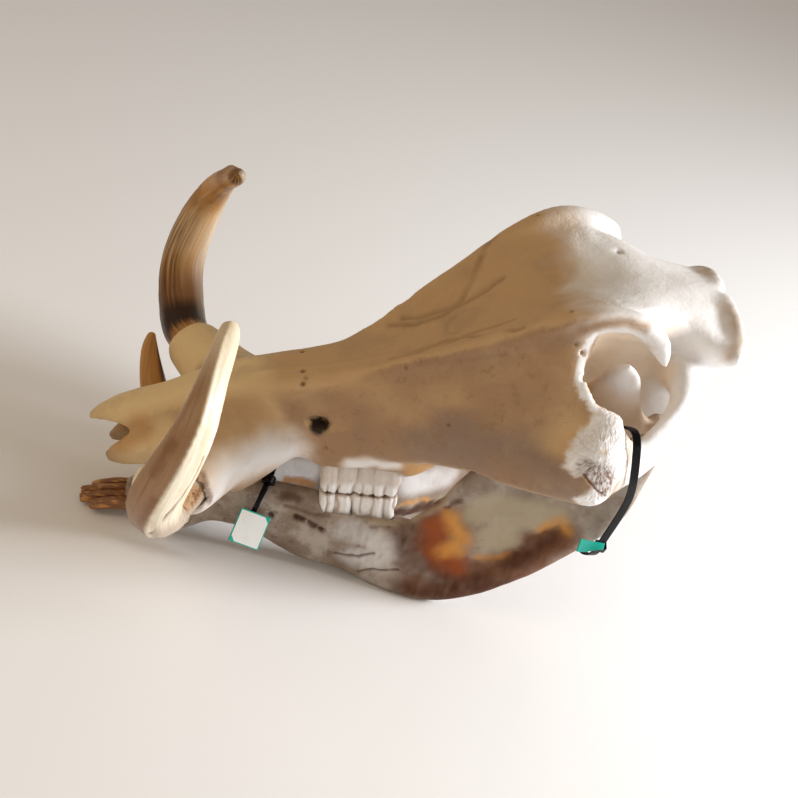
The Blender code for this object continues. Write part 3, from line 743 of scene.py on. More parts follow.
# The slit between a tusk and its socket: painted shadow
brown += 0.8 * area(seen(cranium_tree, TUSK_SLIT), wander(places, scale=4, reach=1.0), reach=2.0, soft=1.2)
# The hollow of the nose: painted shade
brown += 0.35 * area(seen(cranium_tree, NOSE_HOLLOW), bent, reach=7, soft=5)
brown += 0.95 * area(knob_patches, bent, reach=4.5, soft=3) * (0.4 + 0.6 * ramp(-fibres, -0.5, 0.4))
brown += 0.12 * knob * ramp(-fibres, 0.1, 0.8)
paint(cranium, "brown", np.clip(brown, 0, 1))
# Black round the hole over the lip: painted shade in the hole
paint(cranium, "black", area(lip_holes, wander(places, scale=3, reach=1.4), reach=5.9, soft=0.9))
paint(cranium, "rough", rough)
print("brown on", int((brown > 0.3).sum()), "vertices")

# %% [markdown]
# Grease has turned the underside of the cheek and the hollow of the nose orange.

# %% Where the cranium is orange
UNDERSIDE = [(412, 468), (425, 470), (440, 470), (455, 470)]

under_cheek = area(seen(cranium_tree, UNDERSIDE), wander(places, scale=8, reach=4.0), reach=8, soft=6)
orange = strongest(
    0.75 * under_cheek + 0.8 * tear_dip,
    0.9 * area(seen(cranium_tree, NOSE_HOLLOW), wander(places, scale=8, reach=3.0), reach=8, soft=5),
)
paint(cranium, "orange", orange)
print("orange on", int((orange > 0.3).sum()), "vertices")

# %% [markdown]
# The lower jaw gets the same treatment, from its own marks in the photo: a row of small holes on
# the chin, a long crease over them, drying cracks below the teeth, and the pale ridge that runs
# back from the last tooth.

# %% Lines seen in the photo: lower jaw
CHIN_HOLES = (
    [(270, 515), (271, 516)],
    [(295, 517), (303, 520)],
    [(309, 523), (315, 527)],
    [(320, 529), (322, 530)],
)
CHIN_CREASES = [(284, 505), (297, 509), (310, 514), (328, 515)]
UPPER_CRACK = [(334, 553), (347, 555), (358, 556), (374, 553)]
LOWER_CRACK = [(347, 573), (358, 571), (369, 569), (385, 570), (398, 569)]
BACK_RIDGE = [(369, 523), (396, 523), (422, 515), (447, 503)]
MUSCLE_EDGE = [(400, 532), (402, 545), (398, 560), (400, 572)]
BLADE_CRACK = [(627, 441), (636, 437), (642, 435)]

chin_holes = [route for pixels in CHIN_HOLES for route in seen(jaw_tree, pixels)]
creases = seen(jaw_tree, CHIN_CREASES)
cracks = seen(jaw_tree, UPPER_CRACK) + seen(jaw_tree, LOWER_CRACK) + seen(jaw_tree, BLADE_CRACK)
back_ridges = seen(jaw_tree, BACK_RIDGE)
muscle_edges = seen(jaw_tree, MUSCLE_EDGE)
print("chin holes:", len(chin_holes), "and cracks:", len(cracks))

# %% [markdown]
# The faces near them are cut finer and pressed in or raised as on the cranium. The two corners that
# the skull stands on stay as they are, so that it still touches the floor.

# %% Carve the lower jaw
refine_near(jaw, chin_holes, 6)
refine_near(jaw, creases + cracks + back_ridges, 4)
refine_near(jaw, chin_holes + cracks, 2.5)

places = places_of(jaw)
bent = wander(places, scale=5, reach=0.9, seed=3.0)
JAW_WAVES = ((0.45, 24, 1.0), (0.2, 8, 6.0), (0.1, 3.5, 4.0))
# Height, routes, places and width of each line
JAW_RELIEF = (
    (-2.4, chin_holes, wander(places, scale=2, reach=0.6), 1.5),
    (-0.8, creases, bent, 1.1),
    (-0.9, cracks, bent, 0.7),
    (0.9, back_ridges, bent, 2.0),
    (0.5, muscle_edges, bent, 2.5),
)
FLOOR_REACH = (0.5, 6.0)

off_floor = ramp(places[:, 2] / MM, *FLOOR_REACH)
carve = (waves(places, JAW_WAVES) + relief(JAW_RELIEF)) * off_floor
push(jaw, carve)
print("deepest cut:", round(-carve.min(), 1), "mm, on", len(jaw.data.polygons), "faces")

# %% [markdown]
# Its stains are the strongest colours on the skull. Grease has soaked the corner where the chewing
# muscle sat: bright orange beside the pale blade, rust below that, and dark brown along the lower
# edge. The front half is grey and only speckled. A stain could be painted by hand on the unfolded
# bone. As a line of pixels it needs no picture, and each one can be moved or widened alone.

# %% Stains seen in the photo: lower jaw
RUST_STAIN = [(438, 518), (434, 545), (442, 565), (470, 574), (500, 570), (530, 555), (556, 538)]
RUST_LOW = [(415, 588), (440, 594), (480, 590), (510, 580), (540, 562)]
RED_STAIN = [(436, 528), (434, 545), (442, 558), (454, 566)]
YELLOW_STAIN = [(451, 518), (456, 528), (463, 540), (460, 548), (446, 551)]
YELLOW_RIM = [(478, 556), (492, 558), (507, 556)]
BACK_RIM = [(540, 529), (552, 524), (563, 523), (566, 531)]
DARK_BAND = [(505, 564), (520, 556), (535, 548), (553, 536)]
DARK_CORNER = [(442, 582), (458, 588), (478, 584)]
LOW_EDGE = [(425, 594), (455, 598), (485, 592), (505, 584)]
MUSCLE_STAIN = [(404, 534), (411, 545), (410, 560), (418, 568)]
LOW_STAIN = [(400, 588), (415, 592), (430, 594)]
PURPLE_SPOTS = [(283, 493), (290, 497), (297, 499)]
RUST_SPOTS = [(287, 480), (297, 480), (308, 484)]
TROUGH = [(396, 514), (408, 512), (420, 508), (429, 505)]
TROUGH_RIM = [(400, 505), (412, 503), (428, 500)]
BLADE_FRONT = [(446, 509), (453, 505), (460, 502)]
STREAK = [(369, 525), (380, 526), (391, 526)]
CRACK_SPOTS = [(357, 545), (362, 547)]

columns = [pixel[0] for pixel in RUST_STAIN + RUST_LOW]
print("the rust spans the photo's pixel columns", min(columns), "to", max(columns))

# %% [markdown]
# The stains of one colour are laid on each other, and the strongest one wins. Noise eats into every
# edge, and the brown ones are broken into streaks, because grease creeps along the grain of bone.

# %% Paint the stains of the lower jaw
# Pixels, reach and softness in mm, strength, and how far it is broken into streaks
STAINS = {
    "rust": (
        (RUST_STAIN, 12, 7.2, 1.0, 0.0),
        (RUST_LOW, 10, 6.3, 1.0, 0.0),
        (RED_STAIN + YELLOW_STAIN, 13, 8.1, 0.6, 0.0),
        (RUST_SPOTS, 2.5, 1.8, 0.8, 0.0),
        (MUSCLE_STAIN + LOW_STAIN, 9, 7.2, 0.55, 0.0),
    ),
    "red": ((RED_STAIN, 8.5, 6.3, 1.0, 0.0),),
    "yellow": (
        (YELLOW_STAIN, 5.0, 4.95, 1.0, 0.0),
        (YELLOW_RIM, 2.0, 3.15, 0.9, 0.0),
        (BACK_RIM, 3.0, 3.6, 0.9, 0.0),
        (TROUGH_RIM, 2.0, 1.8, 0.9, 0.0),
        (RUST_SPOTS, 2.5, 1.8, 0.6, 0.0),
    ),
    "brown": (
        (DARK_BAND, 4.6, 4.5, 1.0, 0.4),
        (TROUGH, 4.5, 2.25, 1.0, 0.0),
        (DARK_CORNER, 9.5, 6.3, 1.0, 0.6),
        (LOW_EDGE, 6, 5.4, 1.1, 0.545),
        (MUSCLE_STAIN, 8, 6.3, 0.95, 0.65),
        (LOW_STAIN, 6, 4.5, 1.0, 0.7),
        (PURPLE_SPOTS, 3.0, 2.7, 0.85, 0.0),
        (BLADE_FRONT, 1.6, 1.35, 0.85, 0.0),
        (STREAK, 1.2, 0.9, 0.6, 0.0),
        (CRACK_SPOTS, 1.2, 0.9, 0.6, 0.0),
    ),
}

ragged = wander(wander(places, scale=9, reach=3.0, seed=2.0), scale=3, reach=1.3, seed=5.0)
patchy = 0.5 + 0.5 * roughly(places, scale=7, seed=8.0)
streaky = 0.5 + 0.5 * roughly(places * (1.0, 1.0, 0.4), scale=2.6, seed=9.0)


def stain(pixels, reach, soft, strength, streaked):
    """A patch round a line of pixels, with an edge that noise has eaten into."""
    patch = area(seen(jaw_tree, pixels), ragged, reach, soft) * (0.85 + 0.3 * patchy)
    return strength * patch * (1 - streaked + streaked * streaky)


stained = {colour: strongest(*(stain(*row) for row in rows)) for colour, rows in STAINS.items()}
brown = strongest(
    stained["brown"],
    0.95 * line(chin_holes, wander(places, scale=2, reach=0.8), width=1.9),
    0.6 * line(creases, bent, width=1.3) * (0.4 + patchy),
    0.75 * line(cracks, bent, width=0.9),
)
for colour, mask in stained.items():
    print(colour, "on", int((mask > 0.3).sum()), "of", len(places), "vertices of the jaw")

# %% [markdown]
# The blade between those stains is pale and faintly green, and the ridge behind the teeth is nearly white.
# Both are painted as a mask of their own, which keeps the stains off them. A patch under the teeth has flaked
# to a light, granular crust. It and the tip of the blade are painted as chalk, and on the tip of the blade,
# which faces the window, that chalk is painted light. The inside of the far half, which shows between the
# jaws, is painted chalk too, as painted light, except where it is stained. The wing of the jaw behind the
# cheek is painted a warmer, lighter bone colour.

# %% Pale places of the lower jaw
PALE_BLADE = [
    (474, 515), (500, 505), (535, 512), (556, 514), (520, 522), (500, 528), (488, 540), (510, 538),
]
CRUST = [(345, 530), (362, 535), (380, 545), (395, 548), (375, 560), (352, 556)]
CORONOID = [(610, 366), (630, 362), (650, 362), (630, 380)]
WING = [(600, 398), (612, 410), (628, 400), (645, 405), (632, 425), (640, 440)]
FAR_INSIDE = [(412, 484), (430, 480), (445, 476)]
FAR_TOP = [(275, 471), (290, 469), (306, 471)]
# Where the ramp starts and ends, in mm in the skull's frame, counted forward
FRONT_HALF = (-20, 30)

pale = strongest(
    area(seen(jaw_tree, PALE_BLADE), ragged, reach=8.0, soft=5.5),
    0.8 * line(back_ridges, bent, width=2.2),
)
far_routes = seen(jaw_tree, FAR_INSIDE)[:1] + seen(jaw_tree, FAR_TOP)[:1]
# The inside of the far half: its chalk is painted light
far_lit = 0.85 * area(far_routes, places, reach=9, soft=5) * (1 - stained["yellow"]) * (1 - brown)
# The tip of the blade: its chalk is painted light
blade_tip = strongest(area(seen(jaw_tree, CORONOID), ragged, reach=12, soft=8), far_lit)
crust = area(seen(jaw_tree, CRUST), ragged, reach=7, soft=5) * (0.35 + 0.65 * streaky)
front = ramp(-in_skull(places)[:, 0], *FRONT_HALF)
keep = 1 - 0.85 * pale
paint(jaw, "pale", pale)
paint(jaw, "chalk", strongest(blade_tip, 0.7 * crust))
paint(jaw, "wing", area(seen(jaw_tree, WING), ragged, reach=11, soft=8))
paint(jaw, "yellow", stained["yellow"] * (0.7 + 0.3 * streaky))
paint(jaw, "red", stained["red"] * keep)
paint(jaw, "rust", stained["rust"] * keep * (0.8 + 0.2 * streaky))
paint(jaw, "brown", np.clip(brown, 0, 1) * keep)
paint(jaw, "rough", np.clip(0.35 + 0.65 * front, 0, 1) * (1 - pale) * (1 - blade_tip))
print("pale on", int((pale > 0.3).sum()), "vertices")

# %% [markdown]
# The tusks are ivory. They grow out of their sockets for the animal's whole life, so they carry
# long fine streaks and are polished towards the tip. The middle line of each is known, and with it
# every vertex gets two numbers: how far along the tusk it is, and its angle round it. Streaks and
# stains can then follow those numbers and not the scene's axes.

# %% Middle lines of the tusks
UPPER_TUSK_LINE = [
    (-104, 44, -15), (-117, 68, -18), (-130, 92, -19), (-135, 117, -12), (-137, 136, 10),
    (-129, 145, 36), (-119, 143, 60), (-112, 123, 78), (-106, 100, 90), (-106, 94, 95),
]
LOWER_TUSK_LINE = [(-121, 24, -76), (-131, 37, -69), (-141, 50, -54), (-147, 61, -36), (-149, 66, -17)]
CURVE_CUTS = 6


def curve_through(points):
    """More points on a smooth curve through these points."""
    known = [np.array(point, float) for point in points]
    padded = [2 * known[0] - known[1], *known, 2 * known[-1] - known[-2]]
    made = []
    for before, start, end, after in zip(padded, padded[1:], padded[2:], padded[3:]):
        for share in np.arange(CURVE_CUTS) / CURVE_CUTS:
            bend = 2 * before - 5 * start + 4 * end - after
            twist = 3 * start - before - 3 * end + after
            made.append(start + 0.5 * share * (end - before + share * (bend + share * twist)))
    return made + [known[-1]]


def follow(places, middle_line):
    """How far along a middle line each place is, from 0 to 1, and its angle round that line."""
    places = in_skull(places)
    knots = np.array(curve_through(middle_line))
    runs = np.diff(knots, axis=0)
    lengths = np.linalg.norm(runs, axis=1)
    starts = np.concatenate(([0.0], np.cumsum(lengths)))
    best = np.full(len(places), FAR_AWAY)
    along = np.zeros(len(places))
    around = np.zeros(len(places))
    for knot, run, length, start in zip(knots, runs, lengths, starts):
        share = np.clip((places - knot) @ run / length**2, 0, 1)
        offset = places - knot - share[:, None] * run
        distance = np.linalg.norm(offset, axis=1)
        nearer = distance < best
        best[nearer] = distance[nearer]
        along[nearer] = (start + share * length)[nearer] / starts[-1]
        level = np.cross(run / length, (1.0, 0.0, 0.0))
        level /= np.linalg.norm(level)
        around[nearer] = np.arctan2(offset @ level, offset[:, 0])[nearer]
    return along, around


knots = curve_through(UPPER_TUSK_LINE)
print("an upper tusk is", round(sum(math.dist(a, b) for a, b in zip(knots, knots[1:]))), "mm long")

# %% [markdown]
# Each tusk is a smooth copy of its solid with fine ribs pressed in along it. They could be cut as
# grooves, but as waves of the angle round the middle line they never cross and need no edges of
# their own. Noise bends them, and they fade towards the polished tip. The lower tusks came out a
# little thin, so they are swollen.

# %% Ivory with ribs
# Middle line, grain in mm and number of ribs of each kind
TUSK_KINDS = {"upper": (UPPER_TUSK_LINE, 1.0, 9), "lower": (LOWER_TUSK_LINE, 0.8, 6)}
FINE_RIBS = 31
RIB_DEPTH, FINE_RIB_DEPTH = 0.16, 0.07
LOWER_TUSK_SWELL = 0.9


def make_tusk(node, side, middle_line, grain, ribs):
    """A smooth tusk with fine ribs, and where each of its vertices is along it and round it."""
    tusk = copy_of(node, node + "_ivory")
    make_smooth(tusk, LEVELS, grain)
    places = places_of(tusk)
    along, around = follow(places, [(x, side * y, z) for x, y, z in middle_line])
    bent_ribs = np.sin(around * ribs + 2.0 * roughly(places, scale=30, seed=2.0))
    depth = RIB_DEPTH * bent_ribs * ramp(1 - along, 0.1, 0.5) + FINE_RIB_DEPTH * np.sin(around * FINE_RIBS)
    push(tusk, depth + 0.14 * roughly(places, scale=9, seed=6.0))
    paint(tusk, "along", along)
    paint(tusk, "turn_cos", np.cos(around))
    paint(tusk, "turn_sin", np.sin(around))
    return tusk, along, -side * around


tusks, ways = {}, {}
for side_name, side in SIDES:
    for row, kind in TUSK_KINDS.items():
        name = f"{row}_tusk_{side_name}"
        tusks[name], along, turn = make_tusk(name, side, *kind)
        ways[name] = (along, turn)
for side_name, _ in SIDES:
    thin = tusks["lower_tusk_" + side_name]
    push(thin, np.full(len(thin.data.vertices), LOWER_TUSK_SWELL))
print("tusks:", ", ".join(tusks))

# %% [markdown]
# One long edge runs along the outer side of an upper tusk. It is drawn through its pixels in the photo,
# raised, and the face in front of it is pressed flat and painted as a mask. At the foot a thin groove marks
# where the ivory goes into the bone, and its dark line is painted shadow. The collar of bone below it is
# painted on, and so is painted shade in the gap beside the lower tusk. The marks are read on the near tusk,
# and the far one gets them mirrored.

# %% The edge and the foot of the upper tusks
TUSK_EDGE = [(146, 526), (161, 500), (175, 477), (188, 451), (201, 422), (211, 385), (224, 338)]
# Where the lower tusk meets the upper one: painted shade in the gap
TUSK_GAP_SHADE = [(139, 529), (147, 514), (154, 500)]
TUSK_DARK_STREAK = [(153, 474), (162, 460), (172, 443)]
TUSK_FOOT = [(184, 505), (190, 500), (197, 493)]
TUSK_RIM = [(204, 457), (197, 473), (185, 493), (166, 516), (150, 533)]
# Heights in mm, and widths and places as angles round the tusk
EDGE_RISE, EDGE_WIDTH = 0.9, 0.17
FACE_PRESS, FACE_WIDTH, FACE_MIDDLE = 0.5, 0.3, -0.6
RIM_DEPTH, RIM_WIDTH = 0.7, 0.8
# Where the edge and the face start, as shares of the tusk's length
EDGE_FOOT, FACE_FOOT = (0.30, 0.45), (0.28, 0.40)
# Where the edge ends, as shares counted back from the tip
EDGE_TIP = (0.01, 0.08)
# The collar starts below these pixel rows, and ends at these shares of the length
COLLAR_ROWS, COLLAR_ENDS = (466, 478), (0.4, 0.5)
# An angle is counted from this far before the edge to the same place once round
TURN_START = -1.3 * math.pi


def hone(tusk, along, turn, edge, rim_routes):
    """Raises the outer edge, flattens the face in front of it, and paints that face."""
    past_edge = turn - np.interp(along, *edge)
    past_edge = (past_edge - TURN_START) % (2 * math.pi) + TURN_START
    whole = ramp(along, *EDGE_FOOT) * ramp(1 - along, *EDGE_TIP)
    raised = EDGE_RISE * np.exp(-((past_edge / EDGE_WIDTH) ** 2))
    pressed = FACE_PRESS * np.exp(-(((past_edge - FACE_MIDDLE) / FACE_WIDTH) ** 2))
    # The groove round the foot, whose dark line is painted shadow
    rim = line(rim_routes, places_of(tusk), RIM_WIDTH)
    push(tusk, whole * (raised - pressed) - RIM_DEPTH * rim)
    face = ramp(-past_edge, -0.02, 0.14) * (1 - ramp(-past_edge, 3.0, 3.4)) * ramp(along, *FACE_FOOT)
    paint(tusk, "face", face)
    paint(tusk, "rim", rim)


def stain_foot(tusk, along, foot_routes, gap_shade_routes):
    """Paints the collar of bone, the greasy foot, and the painted shade in the gap beside the lower tusk."""
    ragged = wander(places_of(tusk), scale=6, reach=1.5)
    pixels = pixels_of(ragged)
    rim_u, rim_v = np.array(TUSK_RIM).T
    below_rim = ramp(pixels[:, 0] - np.interp(pixels[:, 1], rim_v, rim_u), 0, 2)
    collar = below_rim * ramp(pixels[:, 1], *COLLAR_ROWS) * (1 - ramp(along, *COLLAR_ENDS))
    paint(tusk, "foot", area(foot_routes, ragged, reach=4.5, soft=2.0))
    paint(tusk, "gap_shade", area(gap_shade_routes, ragged, reach=2.5, soft=2.0))
    paint(tusk, "collar", collar)


tusk_tree = tree_of(tusks["upper_tusk_left"])
near_line = [(x, -y, z) for x, y, z in UPPER_TUSK_LINE]
edge = follow(np.array(seen(tusk_tree, TUSK_EDGE)[0]), near_line)
rims = seen(tusk_tree, TUSK_RIM)
feet = seen(tusk_tree, TUSK_FOOT)
smudges_and_gap_shade = seen(tusk_tree, TUSK_GAP_SHADE) + seen(tusk_tree, TUSK_DARK_STREAK)
for side_name, _ in SIDES:
    name = "upper_tusk_" + side_name
    along, turn = ways[name]
    hone(tusks[name], along, turn, edge, rims)
    stain_foot(tusks[name], along, feet, smudges_and_gap_shade)
print("the edge turns by", round(float(np.ptp(edge[1])), 2), "radians from foot to tip")

# %% [markdown]
# A cheek tooth of this animal is a bundle of tall enamel columns, worn off where the rows meet.
# From the side it shows as upright lobes of unequal width with narrow brown valleys between them.
# The lobes could be modelled one by one. Here the valleys between them are pressed into the
# smoothed tooth by one wave that runs along the row and is bent by noise, so twelve teeth take one
# function. The ends swell until neighbours touch, and the lobes stop where the tooth goes into the
# bone.

# %% Cheek teeth
# All in mm, and the crown is how much of a tooth stands out of the bone
LOBE_PITCH, LOBE_HEIGHT, FOLD_HEIGHT = 6.8, 1.5, 0.25
LOBE_ROUND = 0.7
TOOTH_SWELL = 1.9
TOOTH_GRAIN = 0.7
CROWN, CROWN_SOFT = {"upper": 8.0, "lower": 14.0}, 2.5


def make_cheek_tooth(node, row):
    """A tooth of rounded columns, with its valleys, its biting edge and its root painted on."""
    tooth = copy_of(node, node + "_enamel")
    make_smooth(tooth, 1, TOOTH_GRAIN)
    flat = places_of(tooth)
    along_row, _, height = in_skull(flat).T
    phase = along_row * math.pi / LOBE_PITCH + 0.9 * roughly(flat, scale=11, seed=4.0) + 0.02 * height
    lobes = np.abs(np.sin(phase)) ** LOBE_ROUND
    folds = FOLD_HEIGHT * np.abs(np.sin(phase * 3 + 1.0)) * lobes
    biting = height - height.min() if row == "upper" else height.max() - height
    crown = CROWN[row]
    bare = 1 - ramp(biting + 1.5 * roughly(flat, scale=6, seed=3.0), crown - CROWN_SOFT, crown + CROWN_SOFT)
    ends = TOOTH_SWELL * np.abs(normals_of(tooth)[:, 0])
    chips = 0.35 * roughly(flat, scale=2.2, seed=2.0) * ramp(-biting, -4, 0)
    push(tooth, ends + bare * (-LOBE_HEIGHT * (1 - lobes) - folds) + 0.6 * (1 - bare) + chips)
    paint(tooth, "valley", bare * ramp(1 - lobes, 0.35, 0.9))
    paint(tooth, "worn", ramp(-biting, -2.0, -0.3))
    paint(tooth, "gum", 1 - bare)
    return tooth


cheek_teeth = {}
for side_name, _ in SIDES:
    for row in ("upper", "lower"):
        for kind in ("premolar", "molar", "last_molar"):
            node = f"{row}_{kind}_{side_name}"
            cheek_teeth[node] = make_cheek_tooth(node, row)
print("cheek teeth:", len(cheek_teeth))

# %% [markdown]
# The four front teeth lie forward like a small shovel. They are stained as dark as old wood, with
# scratches along them. Each scratch could be a groove of its own. Here noise is pulled out along the
# teeth, which gives the shallow grooves at once and, later, the streaks of their colour.

# %% Front teeth
FRONT_TOOTH_GRAIN = 0.6
SCRATCH_DRAW = (0.25, 1.0, 1.0)
SCRATCH_SIZE, SCRATCH_DEPTH, DENT_DEPTH = 1.6, 0.2, 0.25


def make_front_tooth(node):
    """A front tooth with long scratches."""
    tooth = copy_of(node, node + "_old")
    make_smooth(tooth, 1, FRONT_TOOTH_GRAIN)
    places = places_of(tooth)
    scratches = roughly(places * SCRATCH_DRAW, SCRATCH_SIZE, seed=5.0)
    push(tooth, SCRATCH_DEPTH * scratches + DENT_DEPTH * roughly(places, scale=5, seed=8.0))
    paint(tooth, "scratches", scratches)
    return tooth


front_teeth = {}
for side_name, _ in SIDES:
    for spot in ("inner", "outer"):
        node = f"lower_incisor_{spot}_{side_name}"
        front_teeth[node] = make_front_tooth(node)
print("front teeth:", len(front_teeth))

# %% [markdown]
# Two black cable ties hold the jaws together. A cable tie is a strap of nylon with fine teeth
# across it, and a small square head that the strap is pulled through. Each strap is already there
# as a hoop, so nothing is drawn anew. Its copy gets round edges, and its teeth come from its
# finish, which counts the way along the hoop in millimetres. The route's points are the same ones
# that the solid was made from.

# %% Straps of the cable ties
STRAP_ROUNDING = 0.35
STRAP_CORNER = math.radians(50)
TIE_ROUTES = {
    "cable_tie_front": [
        (-73, -24, -46), (-77, -34, -52), (-82, -36, -66), (-85, -33, -82),
        (-86, -22, -92), (-84, -10, -86), (-79, -9, -68), (-74, -12, -50),
    ],
    "cable_tie_rear": [
        (121, -72, -42), (123, -80, -22), (124, -89, 0), (121, -97, 19), (118, -100, 36), (117, -97, 45),
        (115, -88, 47), (104, -76, 39), (90, -66, 35), (77, -58, 33), (72, -50, 31), (73, -42, 24),
        (88, -42, -6), (103, -47, -42), (111, -51, -57), (116, -58, -62), (120, -66, -56),
    ],
}


def make_strap(node):
    """A strap with round edges, and the way along it painted on in mm."""
    strap = copy_of(node, node + "_strap")
    edit_all(strap, bpy.ops.mesh.tris_convert_to_quads)
    corner = strap.modifiers.new("Corner", "BEVEL")
    corner.width = STRAP_ROUNDING * MM
    corner.segments = 2
    corner.angle_limit = STRAP_CORNER
    smooth = strap.modifiers.new("Smooth", "SUBSURF")
    smooth.levels = smooth.render_levels = 2
    apply_all(strap)
    strap.data.shade_smooth()
    route = TIE_ROUTES[node] + TIE_ROUTES[node][:1]
    length = sum(math.dist(a, b) for a, b in zip(route, route[1:]))
    paint(strap, "along", follow(places_of(strap), route)[0] * length)
    return strap


straps = {node: make_strap(node) for node in TIE_ROUTES}
print("strap faces:", [len(strap.data.polygons) for strap in straps.values()])

# %% [markdown]
# The head is a block with round edges, and with a slot sunk into both ends, where the strap goes in
# and comes out. The cut end of the strap stands out on one side. Both are boxes that are shaped at
# the scene's zero and then carried to the tie by one matrix, so that the object itself stays
# unturned.

# %% Heads and cut ends of the cable ties
HEAD_SIZE = (6.6, 5.4, 5.6)
SLOT_INSET, SLOT_DEPTH = 0.9, 0.8
TAIL_SIZE = (4.4, 1.2, 7.0)
HEAD_ROUNDING, TAIL_ROUNDING = 0.5, 0.25
# The cut end's middle is this share of both lengths away from the head's
TAIL_SHARE = 0.42
# Faces that meet at less than this angle are shaded as one
SMOOTH_BELOW = math.radians(40)
# Place, the way of the strap's width, and the way of the strap, for each head
HEADS = {
    "cable_tie_front": ((-73.8, -26.5, -47.0), (1.0, 0.0, 0.55), (-0.25, -0.83, -0.5)),
    "cable_tie_rear": ((120.8, -70.0, -47.5), (1.0, -0.1, 0.1), (0.1, -0.45, 0.88)),
}


def block(name, size, rounding, slot):
    """A box of this size in mm with round edges, and with a slot in both ends if asked."""
    bpy.ops.object.select_all(action="DESELECT")
    bpy.ops.mesh.primitive_cube_add(size=1)
    piece = bpy.context.object
    piece.name = name
    piece.data.transform(Matrix.Diagonal((*(value * MM for value in size), 1)))
    if slot:
        for face in piece.data.polygons:
            face.select = abs(face.normal.z) > 0.9
        bpy.ops.object.mode_set(mode="EDIT")
        bpy.ops.mesh.select_mode(type="FACE")
        bpy.ops.mesh.inset(thickness=SLOT_INSET * MM, use_individual=True)
        bpy.ops.mesh.extrude_region_shrink_fatten(TRANSFORM_OT_shrink_fatten={"value": -SLOT_DEPTH * MM})
        bpy.ops.object.mode_set(mode="OBJECT")
    bevel = piece.modifiers.new("Round", "BEVEL")
    bevel.width = rounding * MM
    bevel.segments = 3
    apply_all(piece)
    bpy.ops.object.shade_smooth_by_angle(angle=SMOOTH_BELOW)
    return piece


def put(piece, centre, across, along):
    """Carries a piece's mesh to a place in the skull's frame and turns its X and Z axes these ways."""
    along = Vector(along).normalized()
    third = along.cross(Vector(across)).normalized()
    across = third.cross(along)
    pose = Matrix((across, third, along)).transposed().to_4x4()
    pose.translation = Vector(centre) * MM
    piece.data.transform(STAND @ pose)


tie_ends = []
for node, (centre, across, along) in HEADS.items():
    head = block(node + "_head", HEAD_SIZE, HEAD_ROUNDING, True)
    put(head, centre, across, along)
    tail = block(node + "_cut_end", TAIL_SIZE, TAIL_ROUNDING, False)
    outward = Vector(along).normalized() * (HEAD_SIZE[2] + TAIL_SIZE[2]) * TAIL_SHARE
    put(tail, Vector(centre) - outward, across, along)
    tie_ends += [head, tail]
print("tie ends:", [piece.name for piece in tie_ends])

# %% [markdown]
# A tag hangs on each tie: a teal plastic strip at the back, which narrows to one end, and a stiff
# white card with a teal edge at the front. Both are blank, and too stiff to drape like cloth. Still,
# paper and thin plastic are never quite flat, so each is cut into small faces and bent a little.

# %% Tags
TAG_CUTS = 5
# How far each sheet is bent, in mm, and the size of its bends
TAG_BENDS = {"tag_rear": 0.15, "tag_front": 0.2}
BEND_SIZE = 16
# A vertex is on the flat side of a sheet where its normal agrees with that side this far
FLAT_SIDE = 0.95
NARROW_END = 0.35


def make_tag(node, bend):
    """A copy of a tag in small faces, slightly bent, with its outer edge painted on."""
    tag = copy_of(node, node + "_sheet")
    edit_all(tag, bpy.ops.mesh.subdivide, number_cuts=TAG_CUTS)
    flat_face = max(tag.data.polygons, key=lambda face: face.area)
    across = np.array(flat_face.normal)
    paint(tag, "edge", np.abs(normals_of(tag) @ across) < FLAT_SIDE)
    push(tag, bend * roughly(places_of(tag), BEND_SIZE, seed=3.0))
    return tag


def taper(tag, axis, least):
    """Narrows a tag to this share of its height at one end, the one that the axis points away from."""
    places = places_of(tag)
    along = places @ np.array(axis)
    share = ramp(along, along.min(), along.max())
    narrow = least + (1 - least) * share
    top = places[:, 2].max()
    places[:, 2] = top + (places[:, 2] - top) * narrow
    move_to(tag, places)


tags = {node: make_tag(node, bend) for node, bend in TAG_BENDS.items()}
taper(tags["tag_rear"], (-1, 0, 0), NARROW_END)
print("tags:", ", ".join(tags))

# %% [markdown]
# Now the finishes. Dirt, grain and cracks show on every bone and tooth, so they are built once as
# a group of nodes. The group returns a slow mottle, small specks, fine pores, drying cracks and a
# height for the bump. Each material mixes its own colours with them. A few helpers come first,
# because a node, its values and its wires take three lines each when they are written out.

# %% Helpers for nodes
def node_group(name, inputs, outputs):
    """An empty group with these number sockets."""
    group = bpy.data.node_groups.new(name, "ShaderNodeTree")
    for title, default in inputs:
        socket = group.interface.new_socket(title, in_out="INPUT", socket_type="NodeSocketFloat")
        socket.default_value = default
    for title in outputs:
        group.interface.new_socket(title, in_out="OUTPUT", socket_type="NodeSocketFloat")
    return group


def add(tree, kind, **settings):
    """A new node of this kind, with its settings."""
    node = tree.nodes.new(kind)
    for key, value in settings.items():
        setattr(node, key, value)
    return node


def noise_at(tree, places, scale, detail=4.0, rough=0.55):
    """Noise read at these places."""
    node = add(tree, "ShaderNodeTexNoise")
    node.inputs["Scale"].default_value = scale
    node.inputs["Detail"].default_value = detail
    node.inputs["Roughness"].default_value = rough
    tree.links.new(places, node.inputs["Vector"])
    return node.outputs["Fac"]


def stretch(tree, value, low, high, to_low=0.0, to_high=1.0):
    """Takes the values between low and high to the range between to_low and to_high."""
    node = add(tree, "ShaderNodeMapRange", interpolation_type="SMOOTHSTEP")
    node.inputs["From Min"].default_value = low
    node.inputs["From Max"].default_value = high
    node.inputs["To Min"].default_value = to_low
    node.inputs["To Max"].default_value = to_high
    tree.links.new(value, node.inputs["Value"])
    return node.outputs["Result"]


